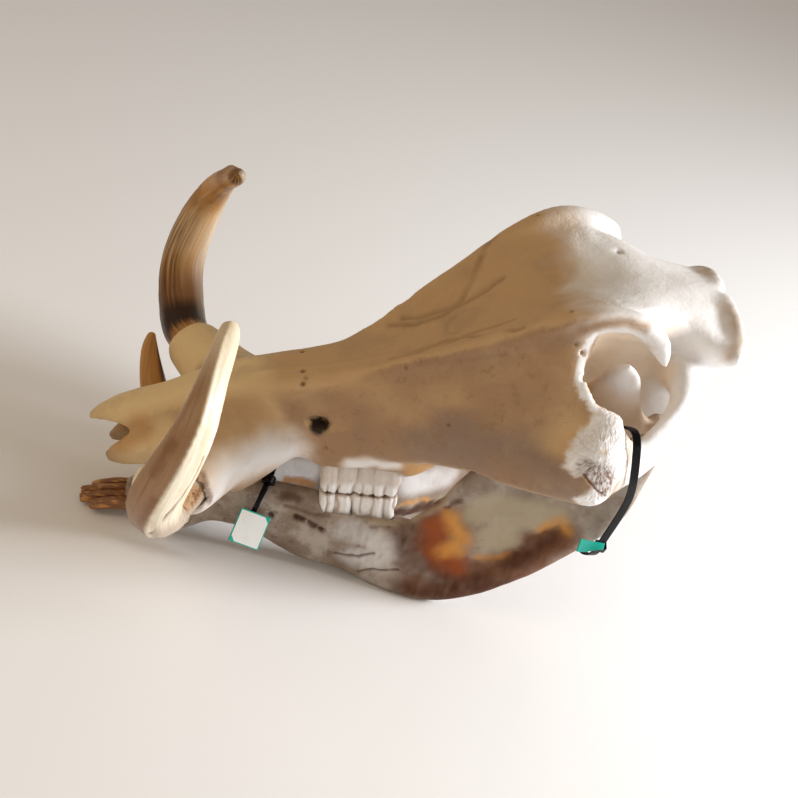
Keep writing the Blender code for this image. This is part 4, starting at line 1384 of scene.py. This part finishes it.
def maths(tree, operation, first, second):
    """One step of arithmetic on two values, each a number or a wire."""
    node = add(tree, "ShaderNodeMath", operation=operation)
    for socket, value in zip(node.inputs, (first, second)):
        if isinstance(value, (int, float)):
            socket.default_value = value
        else:
            tree.links.new(value, socket)
    return node.outputs[0]


node_helpers = (node_group, add, noise_at, stretch, maths)
print("helpers for nodes:", ", ".join(helper.__name__ for helper in node_helpers))

# %% [markdown]
# The grain is made of noise at several sizes. A mottle of three to four centimetres carries the
# slow change of tone. Specks are a few millimetres. Pores are the cells of a Voronoi pattern, kept
# only where the grain is open. A picture of real bone could do the same, but noise has no seams and
# follows the bone in all three directions.

# %% Bone grain, a group that the materials share
MOTTLE_SCALE, SPECK_SCALE, PORE_SCALE, GRAIN_SCALE = 28.0, 150.0, 900.0, 260.0
PORE_SIZE = 0.28

bone_grain = node_group("bone grain", [("Size", 1.0)], ["Mottle", "Specks", "Pores", "Cracks", "Height"])
inner = add(bone_grain, "NodeGroupInput")
outer = add(bone_grain, "NodeGroupOutput")
spot = add(bone_grain, "ShaderNodeTexCoord")
sized = add(bone_grain, "ShaderNodeVectorMath", operation="SCALE")
bone_grain.links.new(spot.outputs["Object"], sized.inputs[0])
bone_grain.links.new(inner.outputs["Size"], sized.inputs["Scale"])
where = sized.outputs["Vector"]
mottle = noise_at(bone_grain, where, MOTTLE_SCALE, detail=6.0, rough=0.6)
specks = stretch(bone_grain, noise_at(bone_grain, where, SPECK_SCALE, detail=4.0, rough=0.7), 0.52, 0.70)
grain = noise_at(bone_grain, where, GRAIN_SCALE, detail=5.0, rough=0.65)

cells = add(bone_grain, "ShaderNodeTexVoronoi", feature="F1")
cells.inputs["Scale"].default_value = PORE_SCALE
bone_grain.links.new(where, cells.inputs["Vector"])
pores = stretch(bone_grain, cells.outputs["Distance"], 0.0, PORE_SIZE, to_low=1.0, to_high=0.0)
pores = maths(bone_grain, "MULTIPLY", pores, stretch(bone_grain, grain, 0.45, 0.65))
print("mottle, specks and pores:", len(bone_grain.nodes), "nodes")

# %% [markdown]
# Cracks are the edges between large cells, bent by noise so that none runs straight, and kept only
# where the mottle is strong. The height for the bump is the grain with pores and cracks taken out.

# %% Cracks and height of the grain
CRACK_SCALE, CRACK_BEND, CRACK_BEND_SCALE = 60.0, 0.02, 120.0
CRACK_WIDTH = 0.03
PORE_DEPTH, CRACK_DEPTH = 0.6, 0.6

warp = add(bone_grain, "ShaderNodeTexNoise")
warp.inputs["Scale"].default_value = CRACK_BEND_SCALE
bone_grain.links.new(where, warp.inputs["Vector"])
bend = add(bone_grain, "ShaderNodeVectorMath", operation="MULTIPLY_ADD")
bend.inputs[1].default_value = (CRACK_BEND, CRACK_BEND, CRACK_BEND)
bone_grain.links.new(warp.outputs["Color"], bend.inputs[0])
bone_grain.links.new(where, bend.inputs[2])
splits = add(bone_grain, "ShaderNodeTexVoronoi", feature="DISTANCE_TO_EDGE")
splits.inputs["Scale"].default_value = CRACK_SCALE
bone_grain.links.new(bend.outputs["Vector"], splits.inputs["Vector"])
cracks = stretch(bone_grain, splits.outputs["Distance"], 0.0, CRACK_WIDTH, to_low=1.0, to_high=0.0)
cracks = maths(bone_grain, "MULTIPLY", cracks, stretch(bone_grain, mottle, 0.60, 0.70))

height = maths(bone_grain, "SUBTRACT", grain, maths(bone_grain, "MULTIPLY", pores, PORE_DEPTH))
height = maths(bone_grain, "SUBTRACT", height, maths(bone_grain, "MULTIPLY", cracks, CRACK_DEPTH))
grain_results = {"Mottle": mottle, "Specks": specks, "Pores": pores, "Cracks": cracks, "Height": height}
for title, value in grain_results.items():
    bone_grain.links.new(value, outer.inputs[title])
print("bone grain has", len(bone_grain.nodes), "nodes")

# %% [markdown]
# A material here is a stack of paint: a base colour, then one colour after another laid over it
# through a mask. The masks come from the vertices or from the grain. A short class keeps the stack
# readable, and each bone is then a few lines. A base that nothing is laid over is set on the
# shader itself.

# %% A stack of colours
# The colour sockets of a mix node share their names, so they are picked by number
MIX_SHARE, MIX_UNDER, MIX_OVER, MIX_RESULT = 0, 6, 7, 2
BUMP_DISTANCE = 0.001


class Paint:
    """A material whose colour is built up in layers over a Principled shader."""

    def __init__(self, name, colour, size=1.0):
        self.material = bpy.data.materials.new(name)
        self.material.use_nodes = True
        self.tree = self.material.node_tree
        self.shader = self.tree.nodes["Principled BSDF"]
        self.shader.inputs["Base Color"].default_value = (*colour, 1)
        self.top = None
        self.base = (*colour, 1)
        self.layers = 0
        self.grain = add(self.tree, "ShaderNodeGroup", node_tree=bone_grain)
        self.grain.inputs["Size"].default_value = size

    def of(self, title, low=0.0, high=1.0):
        """One output of the grain, stretched between two values."""
        return stretch(self.tree, self.grain.outputs[title], low, high)

    def mask(self, name):
        """Numbers that were painted on the vertices."""
        return add(self.tree, "ShaderNodeAttribute", attribute_name=name).outputs["Fac"]

    def times(self, first, second):
        """Two masks multiplied, or a mask and a number."""
        return maths(self.tree, "MULTIPLY", first, second)

    def layer(self, colour, mask, strength=1.0):
        """Lays a colour over what is there, where the mask is strong."""
        mix = add(self.tree, "ShaderNodeMix", data_type="RGBA")
        self.tree.links.new(self.times(mask, strength), mix.inputs[MIX_SHARE])
        mix.inputs[MIX_OVER].default_value = (*colour, 1)
        if self.top is None:
            mix.inputs[MIX_UNDER].default_value = self.base
        else:
            self.tree.links.new(self.top, mix.inputs[MIX_UNDER])
        self.top = mix.outputs[MIX_RESULT]
        self.layers += 1

    def done(self, smoothest, roughest, bump, distance=BUMP_DISTANCE, height=None, shine=0.5):
        """Wires the stack, a roughness that follows the mottle, and a bump."""
        self.shader.inputs["Specular IOR Level"].default_value = shine
        if self.top is not None:
            self.tree.links.new(self.top, self.shader.inputs["Base Color"])
        gloss = stretch(self.tree, self.grain.outputs["Mottle"], 0.35, 0.65, smoothest, roughest)
        self.tree.links.new(gloss, self.shader.inputs["Roughness"])
        bumps = add(self.tree, "ShaderNodeBump")
        bumps.inputs["Strength"].default_value = bump
        bumps.inputs["Distance"].default_value = distance
        self.tree.links.new(height or self.grain.outputs["Height"], bumps.inputs["Height"])
        self.tree.links.new(bumps.outputs["Normal"], self.shader.inputs["Normal"])
        print(self.material.name, "has", self.layers, "layers over its base")
        return self.material


print("steps of a stack:", ", ".join(step for step in vars(Paint) if step[0] != "_"))

# %% [markdown]
# The skull's bone is cream, and chalk white where its mask says so. At the back of the skull, the back of the
# brow and the front rim of the eye socket that white is painted light. It is tan in several tones elsewhere.
# The darker sides and the grey low on the cheek are painted shade, the thinner tan on faces that point down
# is painted light, and the honey on the nose is painted warm light. Brown is painted in every hole and seam,
# and as painted shade in the nose, in the slit beside a tusk and on the neck crest. The black at the lip hole
# is painted shade. Inside the eye sockets the lighter cream is painted light. On the rough knob, noise that
# is pulled out upwards gives fibres too fine for the mesh, in the bump and in the colour.

# %% Bone of the cranium
CREAM = (0.82, 0.70, 0.55)
CHALK = (0.88, 0.87, 0.87)
TAN = (0.59, 0.375, 0.185)
SIDE_SHADE_TAN = (0.33, 0.195, 0.105)
GREY_TAN = (0.25, 0.175, 0.130)
SOCKET_CREAM = (0.93, 0.77, 0.58)
WARM_TAN = (0.83, 0.63, 0.335)
AMBER_GREASE = (0.78, 0.44, 0.16)
SOIL_AND_SHADE = (0.15, 0.062, 0.025)
BLACK_HOLE_SHADE = (0.012, 0.007, 0.005)
FIBRE_SCALES = (620.0, 620.0, 170.0)
FIBRE_BUMP = 2.0


def fibre_noise(paint):
    """Noise pulled out upwards, as the fibres on a rough end of bone."""
    spot = add(paint.tree, "ShaderNodeTexCoord")
    pulled = add(paint.tree, "ShaderNodeVectorMath", operation="MULTIPLY")
    pulled.inputs[1].default_value = FIBRE_SCALES
    paint.tree.links.new(spot.outputs["Object"], pulled.inputs[0])
    return noise_at(paint.tree, pulled.outputs["Vector"], scale=1.0, detail=3.0, rough=0.6)


bone = Paint("clean bone", CREAM)
bone.layer(CHALK, bone.of("Mottle", 0.42, 0.60), 0.3)
# Tan, whose thinning on faces that point down is painted light
bone.layer(TAN, bone.mask("tan"), 0.97)
# Darker tan on the sides: painted shade
bone.layer(SIDE_SHADE_TAN, bone.mask("painted_side_shade"), 0.95)
# Grey low on the cheek: painted shade
bone.layer(GREY_TAN, bone.mask("grey"), 0.75)
# Honey on the nose and the far socket: painted warm light
bone.layer(WARM_TAN, bone.mask("warm"), 0.9)
bone.layer(WARM_TAN, bone.times(bone.mask("tan"), bone.of("Mottle", 0.52, 0.68)), 0.10)
# Lighter cream inside the eye sockets: painted light
bone.layer(SOCKET_CREAM, bone.mask("socket"), 0.9)
bone.layer(GREY_TAN, bone.times(bone.mask("tan"), bone.of("Mottle", 0.50, 0.36)), 0.2)
# Specks of soil, only where the sides carry the painted shade
bone.layer(SOIL_AND_SHADE, bone.times(bone.mask("painted_side_shade"), bone.of("Specks")), 0.4)
# Chalk white, which is painted light at the back of the skull, the back of the brow and the front rim of the
# socket
bone.layer(CHALK, bone.mask("chalk"), 0.9)
bone.layer(AMBER_GREASE, bone.mask("orange"), 0.75)
bone.layer(TAN, bone.of("Pores"), 0.25)
bone.layer(TAN, bone.of("Specks"), 0.12)
fibres = fibre_noise(bone)
bone.layer(TAN, bone.times(bone.mask("rough"), stretch(bone.tree, fibres, 0.50, 0.38)), 0.22)
# Brown, which is painted shade in the nose, the tusk slit and on the neck crest
bone.layer(SOIL_AND_SHADE, bone.mask("brown"), 0.9)
# Black round the lip hole: painted shade
bone.layer(BLACK_HOLE_SHADE, bone.mask("black"), 0.98)
fibrous = bone.times(fibres, bone.times(bone.mask("rough"), FIBRE_BUMP))
bone_height = maths(bone.tree, "ADD", bone.grain.outputs["Height"], fibrous)
bone_finish = bone.done(smoothest=0.48, roughest=0.66, bump=0.45, height=bone_height, shine=0.3)

# %% [markdown]
# The lower jaw looks older. In front it is grey, dusty and full of dark specks. Its corner has
# soaked up grease: yellow, rust and a brown that is nearly black, beside a blade that stayed pale.
# It could share the cranium's finish, but few of the colours are the same, so it has its own stack.

# %% Bone of the lower jaw
GREY_BONE = (0.28, 0.21, 0.155)
WARM_BONE = (0.78, 0.60, 0.44)
DUST = (0.50, 0.44, 0.38)
DARK_DIRT = (0.10, 0.06, 0.04)
PALE_BLADE_COLOUR = (0.44, 0.37, 0.25)
YELLOW_GREASE = (0.72, 0.33, 0.07)
RED_GREASE = (0.31, 0.070, 0.014)
RUST = (0.16, 0.054, 0.020)
DARK_RUST = (0.070, 0.024, 0.011)

jaw_paint = Paint("stained jaw bone", GREY_BONE)
jaw_paint.layer(DUST, jaw_paint.of("Mottle", 0.45, 0.60), 0.75)
jaw_paint.layer(DARK_DIRT, jaw_paint.times(jaw_paint.of("Mottle", 0.46, 0.36), jaw_paint.mask("rough")), 0.35)
jaw_paint.layer(DARK_DIRT, jaw_paint.times(jaw_paint.of("Specks"), jaw_paint.mask("rough")), 0.5)
jaw_paint.layer(DARK_DIRT, jaw_paint.of("Pores"), 0.3)
jaw_paint.layer(PALE_BLADE_COLOUR, jaw_paint.mask("pale"), 0.85)
jaw_paint.layer(WARM_BONE, jaw_paint.mask("wing"), 0.85)
# Chalk, which is painted light on the tip of the blade and inside the far half
jaw_paint.layer(CHALK, jaw_paint.mask("chalk"), 0.85)
jaw_paint.layer(RUST, jaw_paint.mask("rust"), 0.95)
jaw_paint.layer(RED_GREASE, jaw_paint.mask("red"), 0.85)
jaw_paint.layer(YELLOW_GREASE, jaw_paint.mask("yellow"), 0.9)
jaw_paint.layer(DARK_RUST, jaw_paint.mask("brown"), 0.95)
jaw_paint.layer(DARK_DIRT, jaw_paint.of("Cracks"), 0.3)
jaw_finish = jaw_paint.done(smoothest=0.45, roughest=0.65, bump=0.28, shine=0.15)

# %% [markdown]
# Ivory is denser than bone and takes a polish. Its streaks run along the tusk and bend with it, so
# their noise is read by the place along the tusk and the angle round it, pulled out lengthwise. A
# band across the tusk, such as the dark one where the gum ended, has ends that sway with them.

# %% Streaks and bands of ivory
IVORY = (0.80, 0.68, 0.48)
PALE_IVORY = (0.88, 0.82, 0.70)
TAN_IVORY_AND_SHADE = (0.30, 0.145, 0.055)
COLLAR_BONE = (0.50, 0.39, 0.30)
AMBER = (0.52, 0.26, 0.075)
BROWN_STREAK_AND_SHADE = (0.22, 0.10, 0.04)
BLACK_STAIN_AND_SHADE = (0.030, 0.013, 0.006)
IVORY_BUMP_DISTANCE = 0.0006


def streaks(paint, across, along_scale):
    """Noise pulled out along the tusk: fine round it, slow along it."""
    tree = paint.tree
    gather = add(tree, "ShaderNodeCombineXYZ")
    tree.links.new(paint.times(paint.mask("turn_cos"), across), gather.inputs["X"])
    tree.links.new(paint.times(paint.mask("turn_sin"), across), gather.inputs["Y"])
    tree.links.new(paint.times(paint.mask("along"), along_scale), gather.inputs["Z"])
    return noise_at(tree, gather.outputs["Vector"], scale=1.0, detail=6.0, rough=0.65)


def along_between(paint, low, high, soft, fade_out=None):
    """A band across the tusk between two shares of its length, with a ragged edge."""
    tree = paint.tree
    sway = stretch(tree, streaks(paint, across=5.0, along_scale=2.0), 0.3, 0.7, -0.7 * soft, 0.7 * soft)
    ragged = maths(tree, "ADD", paint.mask("along"), sway)
    fade_out = fade_out or soft
    rise = stretch(tree, ragged, low - soft, low + soft)
    fall = stretch(tree, ragged, high - fade_out, high + fade_out, to_low=1.0, to_high=0.0)
    return maths(tree, "MULTIPLY", rise, fall)


print("helpers for ivory:", streaks.__name__, "and", along_between.__name__)

# %% [markdown]
# The animal's left tusk is cream behind its long edge. In front of it, where it lay against the lips and
# where it turns from the window, it is tan with brown streaks, and that tan is partly painted shade. It is
# darker towards the foot and cream again at the tip. Beside the lower tusk a dark gap is painted shade, and
# the line round the foot is painted shadow. The lower left tusk has the same finish. None of the masks for
# stains is painted on it, so it stays cream.

# %% Ivory of the left tusks
ivory = Paint("clean ivory", IVORY)
fine = streaks(ivory, across=7.0, along_scale=5.0)
shaded_lip_face = ivory.mask("face")
ivory.layer(PALE_IVORY, stretch(ivory.tree, fine, 0.42, 0.62), 0.8)
# Tan on the face in front of the edge: partly painted shade on the side turned from the window
ivory.layer(TAN_IVORY_AND_SHADE, shaded_lip_face, 0.9)
broad = stretch(ivory.tree, streaks(ivory, across=4.0, along_scale=2.5), 0.52, 0.68)
thin = stretch(ivory.tree, streaks(ivory, across=6.0, along_scale=2.0), 0.56, 0.74)
ivory.layer(BROWN_STREAK_AND_SHADE, ivory.times(shaded_lip_face, broad), 0.65)
ivory.layer(IVORY, ivory.times(shaded_lip_face, thin), 0.2)
low_end = stretch(ivory.tree, ivory.mask("along"), 0.60, 0.30)
ivory.layer(BROWN_STREAK_AND_SHADE, ivory.times(shaded_lip_face, low_end), 0.65)
# Painted shade in the gap beside the lower tusk
ivory.layer(BROWN_STREAK_AND_SHADE, ivory.mask("gap_shade"), 0.7)
ivory.layer(IVORY, stretch(ivory.tree, ivory.mask("along"), 0.78, 0.97), 0.7)
ivory.layer(COLLAR_BONE, ivory.mask("collar"), 0.95)
ivory.layer(AMBER, ivory.mask("foot"), 0.6)
cracked = stretch(ivory.tree, ivory.grain.outputs["Height"], 0.52, 0.44)
ivory.layer(BROWN_STREAK_AND_SHADE, ivory.times(ivory.mask("foot"), cracked), 0.9)
# The dark line round the foot: painted shadow
ivory.layer(BROWN_STREAK_AND_SHADE, ivory.mask("rim"), 0.8)
ivory_finish = ivory.done(
    smoothest=0.26, roughest=0.42, bump=0.2, distance=IVORY_BUMP_DISTANCE, height=fine, shine=0.35
)

# %% [markdown]
# The right tusk is amber from end to end, with paler streaks. A dark band marks where the gum held the soil,
# dark streaks climb from the band, and the tip has a broken dark patch. The streaks climb on the side turned
# from the window, and there they are partly painted shade. The side that faces the window is painted paler,
# as a painted highlight.

# %% Ivory of the right upper tusk
amber = Paint("stained ivory with painted light and shade", AMBER)
fine = streaks(amber, across=7.0, along_scale=5.0)
# The side turned from the window, where the dark streaks are partly painted shade
dark_side = stretch(amber.tree, amber.mask("turn_cos"), -0.5, 0.3, to_low=1.0, to_high=0.0)
climbing = amber.times(dark_side, along_between(amber, 0.30, 0.64, soft=0.10))
amber.layer(IVORY, stretch(amber.tree, streaks(amber, across=3.0, along_scale=2.0), 0.50, 0.70), 0.35)
amber.layer(IVORY, along_between(amber, 0.50, 0.66, soft=0.06), 0.35)
amber.layer(BROWN_STREAK_AND_SHADE, stretch(amber.tree, streaks(amber, across=6.0, along_scale=3.0), 0.52, 0.70), 0.35)
smudges_and_gap_shade = amber.times(along_between(amber, 0.66, 0.93, soft=0.06), amber.of("Mottle", 0.40, 0.60))
amber.layer(BROWN_STREAK_AND_SHADE, smudges_and_gap_shade, 0.65)
amber.layer(BROWN_STREAK_AND_SHADE, along_between(amber, 0.20, 0.45, soft=0.03, fade_out=0.08), 0.85)
amber.layer(BLACK_STAIN_AND_SHADE, amber.times(climbing, stretch(amber.tree, fine, 0.36, 0.60)), 0.75)
amber.layer(BLACK_STAIN_AND_SHADE, along_between(amber, 0.225, 0.33, soft=0.02, fade_out=0.05), 0.97)
amber.layer(IVORY, stretch(amber.tree, amber.mask("along"), 0.17, 0.20, to_low=1.0, to_high=0.0), 0.7)
tip_patch = amber.times(along_between(amber, 0.965, 1.02, soft=0.012), stretch(amber.tree, fine, 0.35, 0.50))
amber.layer(BLACK_STAIN_AND_SHADE, tip_patch, 0.75)
# A painted highlight on the side that faces the window
amber.layer(PALE_IVORY, stretch(amber.tree, amber.mask("turn_cos"), 0.5, 0.9), 0.3)
amber_finish = amber.done(
    smoothest=0.28, roughest=0.44, bump=0.15, distance=IVORY_BUMP_DISTANCE, height=fine, shine=0.22
)

# %% [markdown]
# The tusk below it is amber in front and painted nearly black behind, as painted shadow where it lies against
# its socket. The cosine of the angle round the tusk tells front from back.

# %% Ivory of the right lower tusk
canine = Paint("stained canine with painted shade", AMBER)
brown_streaks = stretch(canine.tree, streaks(canine, across=4.0, along_scale=2.0), 0.45, 0.70)
canine.layer(BROWN_STREAK_AND_SHADE, brown_streaks, 0.5)
# Nearly black behind: painted shadow against the socket
canine.layer(BLACK_STAIN_AND_SHADE, stretch(canine.tree, canine.mask("turn_cos"), 0.30, 0.8), 0.85)
canine_finish = canine.done(smoothest=0.30, roughest=0.46, bump=0.15, shine=0.35)

# %% [markdown]
# Enamel is hard, white and glossy. Brown cement fills the valleys between its lobes, and the worn
# face shows darker tooth inside. One finish serves all twelve cheek teeth, because each has masks of
# its own. The front teeth have the brown and orange of old wood, in streaks that follow their
# scratches.

# %% Teeth
ENAMEL = (0.80, 0.77, 0.74)
CEMENT = (0.36, 0.22, 0.12)
GUM_BONE = (0.58, 0.50, 0.43)
OLD_WOOD = (0.22, 0.09, 0.03)
ORANGE_WOOD = (0.60, 0.28, 0.08)

enamel = Paint("enamel", ENAMEL)
enamel.layer(CEMENT, enamel.mask("valley"), 0.7)
enamel.layer(CEMENT, enamel.mask("worn"), 0.6)
enamel.layer(GUM_BONE, enamel.mask("gum"), 0.9)
enamel.layer(CEMENT, enamel.of("Specks"), 0.2)
enamel_finish = enamel.done(smoothest=0.18, roughest=0.32, bump=0.15)

old_tooth = Paint("stained tooth", OLD_WOOD)
old_tooth.layer(ORANGE_WOOD, stretch(old_tooth.tree, old_tooth.mask("scratches"), -0.1, 0.5), 0.8)
old_tooth.layer(TAN, old_tooth.of("Specks"), 0.4)
old_tooth_finish = old_tooth.done(smoothest=0.35, roughest=0.55, bump=0.3)

# %% [markdown]
# The made things are plain. Black nylon has a low sheen and a little dust. The fine teeth across a
# strap are a sine of the way along it, in the bump only, because they are too small to be mesh.

# %% Nylon
NYLON = (0.004, 0.004, 0.006)
NYLON_DUST = (0.05, 0.05, 0.055)
TEETH_PER_MM = 0.9
TOOTH_BUMP_DISTANCE = 0.0003

nylon = Paint("black nylon", NYLON, size=2.0)
nylon.layer(NYLON_DUST, nylon.of("Specks"), 0.2)
nylon_finish = nylon.done(smoothest=0.22, roughest=0.34, bump=0.06, shine=0.15)

toothed = Paint("toothed nylon", NYLON, size=2.0)
toothed.layer(NYLON_DUST, toothed.of("Specks"), 0.2)
turns = toothed.times(toothed.mask("along"), 2 * math.pi * TEETH_PER_MM)
teeth_across = maths(toothed.tree, "SINE", turns, 0.0)
toothed_finish = toothed.done(
    smoothest=0.18, roughest=0.28, bump=0.06, distance=TOOTH_BUMP_DISTANCE, height=teeth_across, shine=0.15
)

# %% [markdown]
# The teal strip is thin plastic with paler worn places. The card is stiff paper, a little yellowed,
# and its teal edge follows the mask from the sides of its mesh.

# %% Plastic and card
TEAL = (0.005, 0.42, 0.33)
CARD = (0.86, 0.88, 0.86)

teal = Paint("teal plastic", TEAL, size=2.0)
teal.layer(CARD, teal.of("Mottle", 0.55, 0.75), 0.12)
teal_finish = teal.done(smoothest=0.30, roughest=0.45, bump=0.06)

card = Paint("white card", CARD, size=2.0)
card.layer(TAN, card.of("Mottle", 0.5, 0.7), 0.15)
card.layer(TEAL, stretch(card.tree, card.mask("edge"), 0.84, 0.92))
card_finish = card.done(smoothest=0.6, roughest=0.75, bump=0.1)

# %% [markdown]
# Last, every piece gets its finish, stands in for its solid, and is fixed to the one body. The
# heads and cut ends of the ties stand for no solid of their own.

# %% Dress the skull
def dress(piece, finish, node=None):
    """Gives a piece its finish and its slot, and lets it stand for a solid."""
    piece.data.materials.clear()
    piece.data.materials.append(finish)
    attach(piece, "root")
    if node:
        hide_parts(node)


dress(cranium, bone_finish, "cranium")
dress(jaw, jaw_finish, "mandible")
finishes = {"upper_tusk_right": amber_finish, "lower_tusk_right": canine_finish}
for node, tusk in tusks.items():
    dress(tusk, finishes.get(node, ivory_finish), node)
for node, tooth in cheek_teeth.items():
    dress(tooth, enamel_finish, node)
for node, tooth in front_teeth.items():
    dress(tooth, old_tooth_finish, node)
for node, strap in straps.items():
    dress(strap, toothed_finish, node)
for piece in tie_ends:
    dress(piece, nylon_finish)
dress(tags["tag_rear"], teal_finish, "tag_rear")
dress(tags["tag_front"], card_finish, "tag_front")
grown = [cranium, jaw, *tusks.values(), *cheek_teeth.values(), *front_teeth.values()]
made = [*straps.values(), *tie_ends, *tags.values()]
print("pieces dressed:", len(grown), "grown and", len(made), "made")

# %% [markdown]
